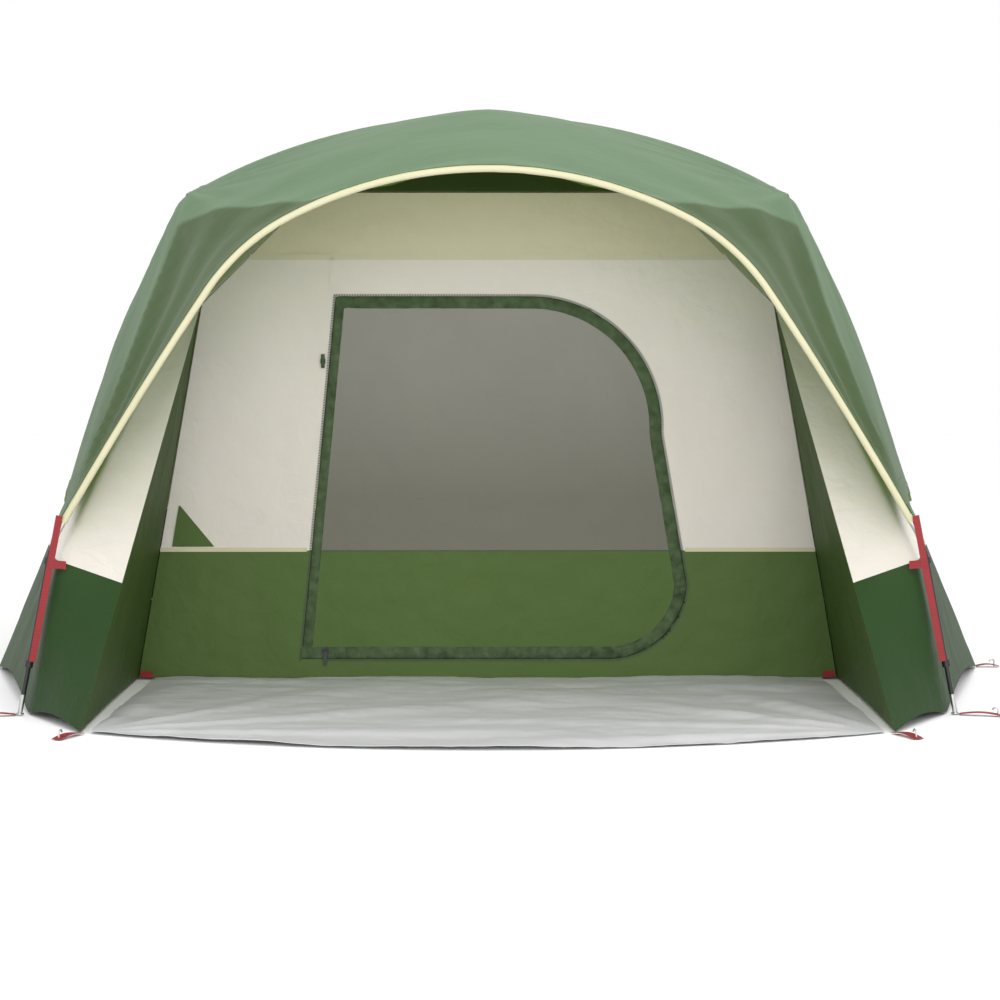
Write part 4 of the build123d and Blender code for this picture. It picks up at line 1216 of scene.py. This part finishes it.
def hem_rise(heights):
    """How far a hem rises between its pegs, along two runs."""
    runs = [height * np.sin(np.pi * np.linspace(0, 1, count))
            for height, count in zip(heights, WING_STEPS)]
    return np.concatenate([runs[0], runs[1][1:]])


def crease(plain, depth, seed, pulls=()):
    """Soft folds over a panel, calm at its edges, and rays from the corners that pull."""
    rows, columns = plain.shape[:2]
    down = np.sin(np.pi * np.linspace(0, 1, rows))[:, None]
    across = np.sin(np.pi * np.linspace(0, 1, columns))[None]
    calm = np.sqrt(down * across)
    broad, fine = (noise_at(plain, size, seed + step) for step, size in enumerate(WING_FOLD_SIZES))
    height = depth * (broad + WING_FINE_SHARE * fine)
    for row, column, count, reach in pulls:
        spot = plain[row, column]
        axes = [plain[row, 1] - plain[row, 0], plain[1, column] - plain[0, column]]
        along, over = ((plain - spot) @ (axis / np.linalg.norm(axis)) for axis in axes)
        height = height + ray_creases(along, over, (0, 0), count, reach, depth, seed)
    return plain + grid_normals(plain) * (height * calm)[:, :, None]


def wing_panel(name, points, material, nodes):
    piece = grid_sheet(name, points, material)
    settle(piece, nodes)


def make_wing(hand, sign):
    at = wing_corners(sign)
    foot_line = two_runs(at["toe"], at["foot"], at["corner"])
    foot_line[:, 2] += hem_rise(WING_HEM_RISES)
    foot_line = fold_back(foot_line, at["wall_foot"])
    seam_line = fold_back(two_runs(at["band"], at["tab"], at["corner_band"]), at["wall_band"])
    band = blend_points(foot_line, seam_line, BAND_ROWS)
    wing_panel(hand + "_wing_band", crease(band, WING_FOLD, 31, [BAND_PULL]), WING_GREEN,
               [hand + "_wing_lower"])

    top_line = polyline([at["peak"], at["side_top"]], len(seam_line))
    cloth = blend_points(seam_line + (0, 0, SEAM_THICK), top_line, CLOTH_ROWS)
    wing_panel(hand + "_wing_cloth", crease(cloth, WING_FOLD, 33), CREAM,
               [hand + "_wing_upper"])

    gusset = blend_points(top_line + (0, 0, MM), towards(top_line, at["wall_top"], GUSSET_POINT), GUSSET_ROWS)
    wing_panel(hand + "_wing_gusset", gusset, CREAM, [])

    strip_foot = polyline([at["toe"], at["inner"]], STRIP_STEPS)
    strip_foot[:, 2] += STRIP_RISE * np.sin(np.pi * np.linspace(0, 1, STRIP_STEPS))
    strip = blend_points(strip_foot, towards(strip_foot, at["peak"], STRIP_POINT), CLOTH_ROWS)
    wing_panel(hand + "_porch_side", crease(strip, STRIP_FOLD, 35, [STRIP_PULL]), STRIP_GREEN,
               [])


for hand, sign in HANDS:
    make_wing(hand, sign)

# %% [markdown]
# ## Porch sheet
# A light grey sheet lies loose on the ground. Its front edge bows out, and shallow folds run in from
# the pegged corners. It could be dropped on the ground by simulation, but only its soft folds show, and
# noise and rays from the corners give those directly.

# %% Porch sheet
PORCH_HALF = 0.828
PORCH_FRONT = -1.795
PORCH_BOW = 0.230
PORCH_BOW_R = (PORCH_HALF ** 2 + PORCH_BOW ** 2) / (2 * PORCH_BOW)
PORCH_STEPS = (150, 110)
PORCH_GAP = 3 * MM
PORCH_FOLDS = ((9 * MM, (0.5, 1.0, 1.0), 0.16, 41), (3 * MM, (1.0, 1.0, 1.0), 0.06, 42))
PORCH_RAYS = (13, 0.35, 6 * MM)


def porch_front(x):
    return PORCH_FRONT + PORCH_BOW_R - np.sqrt(PORCH_BOW_R ** 2 - x ** 2)


porch_x = np.linspace(-PORCH_HALF, PORCH_HALF, PORCH_STEPS[0])
porch_edge = np.stack([porch_x, porch_front(porch_x), 0 * porch_x + MM], axis=1)
porch_back = np.stack([porch_x, 0 * porch_x + WALL_Y - PORCH_GAP, 0 * porch_x + MM], axis=1)
porch_plain = blend_points(porch_edge, porch_back, PORCH_STEPS[1])
porch_points = porch_plain.copy()
for tall, stretch, size, seed in PORCH_FOLDS:
    porch_points[:, :, 2] += np.abs(noise_at(porch_plain * stretch, size, seed)) * tall
for corner_x in (-PORCH_HALF, PORCH_HALF):
    pull = ray_creases(porch_plain[:, :, 0], porch_plain[:, :, 1], (corner_x, TOE[1]), *PORCH_RAYS, 0)
    porch_points[:, :, 2] += np.maximum(0, pull)
porch_piece = grid_sheet("porch_floor", porch_points, PORCH_GREY)
settle(porch_piece, ["porch_sheet"])

# %% [markdown]
# ## Webbing
# Red tapes: a strap down each side of the front pole, a tab from each strap to the seam of the wing, a
# tab at each foot of the door wall, and the loops that the pegs hold. Curves with a flat bevel could
# give them, but a grid across each path keeps the exact width and never twists.

# %% Webbing
TAPE_WIDTH = 0.022
TAPE_THICK = 1.4 * MM
STRAP_HEIGHTS = (0.118, 0.440)
STRAP_WIDTH, STRAP_IN = 0.015, 0.008
STRAP_Y, STRAP_STEPS = -1.2862, 40
TAB_Z, TAB_WIDTH, TAB_STEPS = 0.335, 0.018, 16
TAB_POINTS = ((0.004, STRAP_Y - 2 * MM, 0.334), (0.024, -1.282, 0.332), (0.040, -1.276, 0.330))
WALL_TAB_WIDTH, WALL_TAB_STEPS = 0.016, 12
WALL_TAB_ENDS = ((0.864, WALL_Y - 6 * MM, 0.012), (0.834, WALL_Y - 7 * MM, 0.011))
PEG_LOOP_STEPS, PEG_LOOP_LIE, PEG_LOOP_LIFT = 16, 1.1 * MM, 5 * MM
PEG_LOOP_LENGTHS = {"toe": 0.095, "front": 0.095, "side": 0.060, "rear": 0.0995}
PEG_LOOP_TURN = 20
TOE_LOOP_Y, REAR_LOOP_Y, SIDE_LOOP_HALF = -1.5667, 1.7002, 1.2722
FRONT_LOOP_OUT, FRONT_LOOP_BACK = 9 * MM, 3 * MM


def red_tape(name, path, side, width=TAPE_WIDTH, nodes=()):
    plain = tape(path, side, width)
    piece = grid_sheet(name, plain, RED_WEBBING, None, TAPE_THICK)
    settle(piece, nodes)


def loop_path(start, heading, length):
    """A tape on the ground, a little lifted in its middle."""
    shares = np.linspace(0, 1, PEG_LOOP_STEPS)
    turn = math.radians(heading)
    lift = PEG_LOOP_LIE + PEG_LOOP_LIFT * np.sin(np.pi * shares)
    x = start[0] + math.cos(turn) * length * shares
    y = start[1] + math.sin(turn) * length * shares
    return np.stack([x, y, lift], axis=1), (-math.sin(turn), math.cos(turn), 0)


for hand, sign in HANDS:
    heights = np.linspace(*STRAP_HEIGHTS, STRAP_STEPS)
    line = np.array([(sign * (leg_x(z) - STRAP_IN), STRAP_Y, z) for z in heights])
    red_tape(hand + "_strap", line, np.cross(line[-1] - line[0], (0, 1, 0)), STRAP_WIDTH,
             [hand + "_corner_strap"])
    tab = polyline([(sign * (leg_x(TAB_Z) - inward), y, z) for inward, y, z in TAB_POINTS], TAB_STEPS)
    red_tape(hand + "_seam_tab", tab, (0, 0, 1), TAB_WIDTH)
    foot_tab = polyline([(sign * x, y, z) for x, y, z in WALL_TAB_ENDS], WALL_TAB_STEPS)
    red_tape(hand + "_wall_tab", foot_tab, (0, 0, 1), WALL_TAB_WIDTH)
    outward = 90 - sign * 90
    places = {
        "toe": ((sign * TOE[0], TOE_LOOP_Y), 270 + sign * PEG_LOOP_TURN),
        "front": ((sign * (pole_x(2 * MM) + FRONT_LOOP_OUT), FRONT_Y - FRONT_LOOP_BACK),
                  outward - sign * PEG_LOOP_TURN),
        "side": ((sign * SIDE_LOOP_HALF, SIDE_Y), outward),
        "rear": ((sign * MAIN_FOOT_HALF, REAR_LOOP_Y), 90),
    }
    for spot, (start, heading) in places.items():
        line, across = loop_path(start, heading, PEG_LOOP_LENGTHS[spot])
        stands_for = ["peg_loops"] if (hand, spot) == ("left", "toe") else []
        red_tape(hand + "_" + spot + "_loop", line, across, nodes=stands_for)

# %% [markdown]
# ## Stitches and zip teeth
# A seam is held by short, even stitches, and the zip has a tooth every few millimetres. A loop could
# add them block by block, but they repeat hundreds of times along known lines, so one Geometry Nodes
# tree sets them: it walks along a line at a chosen spacing and puts a small block at each step, turned
# along the line.

# %% Stitches and zip teeth
def socket_id(tree, name):
    return next(item.identifier for item in tree.interface.items_tree if item.name == name)


def row_tree():
    tree = bpy.data.node_groups.new("row of blocks", "GeometryNodeTree")
    tree.interface.new_socket("Geometry", in_out="INPUT", socket_type="NodeSocketGeometry")
    for name in ("Spacing", "Length", "Width", "Height"):
        tree.interface.new_socket(name, in_out="INPUT", socket_type="NodeSocketFloat")
    tree.interface.new_socket("Material", in_out="INPUT", socket_type="NodeSocketMaterial")
    tree.interface.new_socket("Geometry", in_out="OUTPUT", socket_type="NodeSocketGeometry")
    given = add_node(tree, "NodeGroupInput")
    line = add_node(tree, "GeometryNodeMeshToCurve", {"Mesh": given.outputs["Geometry"]})
    steps = add_node(tree, "GeometryNodeResampleCurve",
                     {"Curve": line.outputs[0], "Length": given.outputs["Spacing"]}, mode="LENGTH")
    size = add_node(tree, "ShaderNodeCombineXYZ",
                    {0: given.outputs["Length"], 1: given.outputs["Width"], 2: given.outputs["Height"]})
    block = add_node(tree, "GeometryNodeMeshCube", {"Size": size.outputs[0]})
    tangent = add_node(tree, "GeometryNodeInputTangent")
    turned = add_node(tree, "FunctionNodeAlignRotationToVector", {"Vector": tangent.outputs[0]}, axis="X")
    placed = add_node(tree, "GeometryNodeInstanceOnPoints",
                      {"Points": steps.outputs[0], "Instance": block.outputs[0],
                       "Rotation": turned.outputs[0]})
    real = add_node(tree, "GeometryNodeRealizeInstances", {"Geometry": placed.outputs[0]})
    painted = add_node(tree, "GeometryNodeSetMaterial",
                       {"Geometry": real.outputs[0], "Material": given.outputs["Material"]})
    add_node(tree, "NodeGroupOutput", {"Geometry": painted.outputs[0]})
    return tree


ROW_TREE = row_tree()
print("row tree of", len(ROW_TREE.nodes), "nodes")

# %% [markdown]
# ## Rows of stitches and teeth
# Two rows of stitches hold each seam tape, one row runs along the sleeve, and the teeth of the zip
# stand round the door's opening. The tree could stay live on each line, but an export reads plain meshes
# best, so each row is made from its own line with the tree's sizes set for it, and then turned into a
# mesh of its own.

# %% Rows of stitches and teeth
def row_of_blocks(name, lines, sizes, material, body="tent"):
    """Blocks along one or more lines, as one mesh; sizes are spacing, length, width and height."""
    points = np.concatenate(lines)
    starts = np.cumsum([0] + [len(line) for line in lines])
    edges = [(index, index + 1)
             for first, last in zip(starts, starts[1:]) for index in range(first, last - 1)]
    mesh = bpy.data.meshes.new(name + " line")
    mesh.from_pydata([tuple(point) for point in points], edges, [])
    source = bpy.data.objects.new(name + " line", mesh)
    bpy.context.scene.collection.objects.link(source)
    modifier = source.modifiers.new("row", "NODES")
    modifier.node_group = ROW_TREE
    for label, value in zip(("Spacing", "Length", "Width", "Height"), sizes):
        modifier[socket_id(ROW_TREE, label)] = value
    modifier[socket_id(ROW_TREE, "Material")] = material
    evaluated = source.evaluated_get(bpy.context.evaluated_depsgraph_get())
    piece = bpy.data.objects.new(name, bpy.data.meshes.new_from_object(evaluated))
    bpy.data.objects.remove(source)
    bpy.context.scene.collection.objects.link(piece)
    settle(piece, body=body)
    print(name, len(piece.data.polygons) // 6, "blocks")


STITCH = (9 * MM, 6 * MM, 1.0 * MM, 0.8 * MM)
STITCH_OUT, STITCH_APART = 2.0 * MM, 7 * MM
SLEEVE_STITCH = 5.6 * MM
TOOTH = (4 * MM, 2 * MM, 1.6 * MM, 5 * MM)
TEETH_INSET, TEETH_OUT, TEETH_SHORT = 3.5 * MM, 1.2 * MM, 4


def stitch_lines(column):
    """Two rows of stitches on the tape of a fly seam."""
    path, across = fly_line(column, STITCH_OUT, SHOULDER_ROW)
    across = across / np.linalg.norm(across, axis=1, keepdims=True)
    return [path + across * offset for offset in (-STITCH_APART, STITCH_APART)]


seam_stitches = stitch_lines(MIDDLE - ELBOW) + stitch_lines(MIDDLE + ELBOW)
row_of_blocks("fly_stitches", seam_stitches, STITCH, THREAD)
sleeve_stitches = sleeve_line - sleeve_up * SLEEVE_STITCH - (0, SLEEVE_STITCH, 0)
row_of_blocks("sleeve_stitches", [sleeve_stitches], STITCH, CREAM_THREAD)
wall_teeth = upright(inset_loop(DOOR_LOOP, -TEETH_INSET), WALL_Y - TEETH_OUT)
row_of_blocks("zip_teeth", [wall_teeth[:-TEETH_SHORT]], TOOTH, ZIP_GREEN)

# %% [markdown]
# ## Piping along the seams
# A pale tape marks the seam between the green band and the cream cloth on the door wall. Tapes in the
# colour of the cloth cover the seam of the header and the one above the door. They could be drawn in
# the material, but a tape stands proud and has a thin line of shade along it.

# %% Piping along the seams
PIPING_Y = WALL_Y - 1.6 * MM
PIPING_WIDTH, HEADER_SEAM_WIDTH, DOOR_SEAM_WIDTH = 10 * MM, 14 * MM, 11 * MM
PIPING_Z = BAND_TOP + 2 * MM
PIPING_ENDS = (-0.450, 0.490)
DOOR_SEAM_OUT = 8 * MM
PIPING_STEPS, DOOR_SEAM_STEPS = 60, 30


def wall_seam(name, first, last, width, material, steps=PIPING_STEPS):
    """A tape on the door wall between two points in the wall's plane."""
    path = upright(polyline([first, last], steps), PIPING_Y)
    run = path[-1] - path[0]
    plain = tape(path, np.abs((run[2], 0, run[0])), width)
    piece = grid_sheet(name, plain, material, None, SEAM_THICK)
    settle(piece)


seam_x, seam_foot = HINGE_TOP[0] - DOOR_SEAM_OUT, HINGE_TOP[1] + DOOR_SEAM_OUT
band_half, header_half = wall_half(BAND_TOP), wall_half(HEADER_FOOT)
wall_seam("door_seam", (seam_x, seam_foot), (seam_x, HEADER_FOOT), DOOR_SEAM_WIDTH, CREAM, DOOR_SEAM_STEPS)
wall_seam("left_band_piping", (-band_half, PIPING_Z), (PIPING_ENDS[0], PIPING_Z), PIPING_WIDTH, PIPING)
wall_seam("right_band_piping", (PIPING_ENDS[1], PIPING_Z), (band_half, PIPING_Z), PIPING_WIDTH, PIPING)
wall_seam("header_seam", (-header_half, HEADER_FOOT), (header_half, HEADER_FOOT), HEADER_SEAM_WIDTH,
          HEADER_CREAM_PAINTED_SHADE)

# %% [markdown]
# ## Poles and hardware
# The rods, ferrules, tips, rings, pegs, clips, slider and toggle could be modelled again, but the
# frame's solids are exact, so they keep their measured shape and take the scene's materials.

# %% Poles and hardware
NODE_MATERIALS = {
    "_rods": POLE_BLACK, "_ferrules": STEEL, "_cord": ELASTIC,
    "_clip": BLACK_PLASTIC, "_clips": BLACK_PLASTIC,
    "pegs": STEEL, "pole_tips": STEEL, "foot_rings": STEEL, "crown_pad": BLACK_PLASTIC,
    "zip_slider": BLACK_PLASTIC, "zip_puller": BLACK_PLASTIC, "door_tie": BINDING_GREEN,
}
kept = []
for name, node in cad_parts.items():
    for ending, material in NODE_MATERIALS.items():
        if name.endswith(ending):
            kept.append(name)
            for holder in node.material_slots:
                holder.material = material
print("kept from the frame:", len(kept), "nodes")
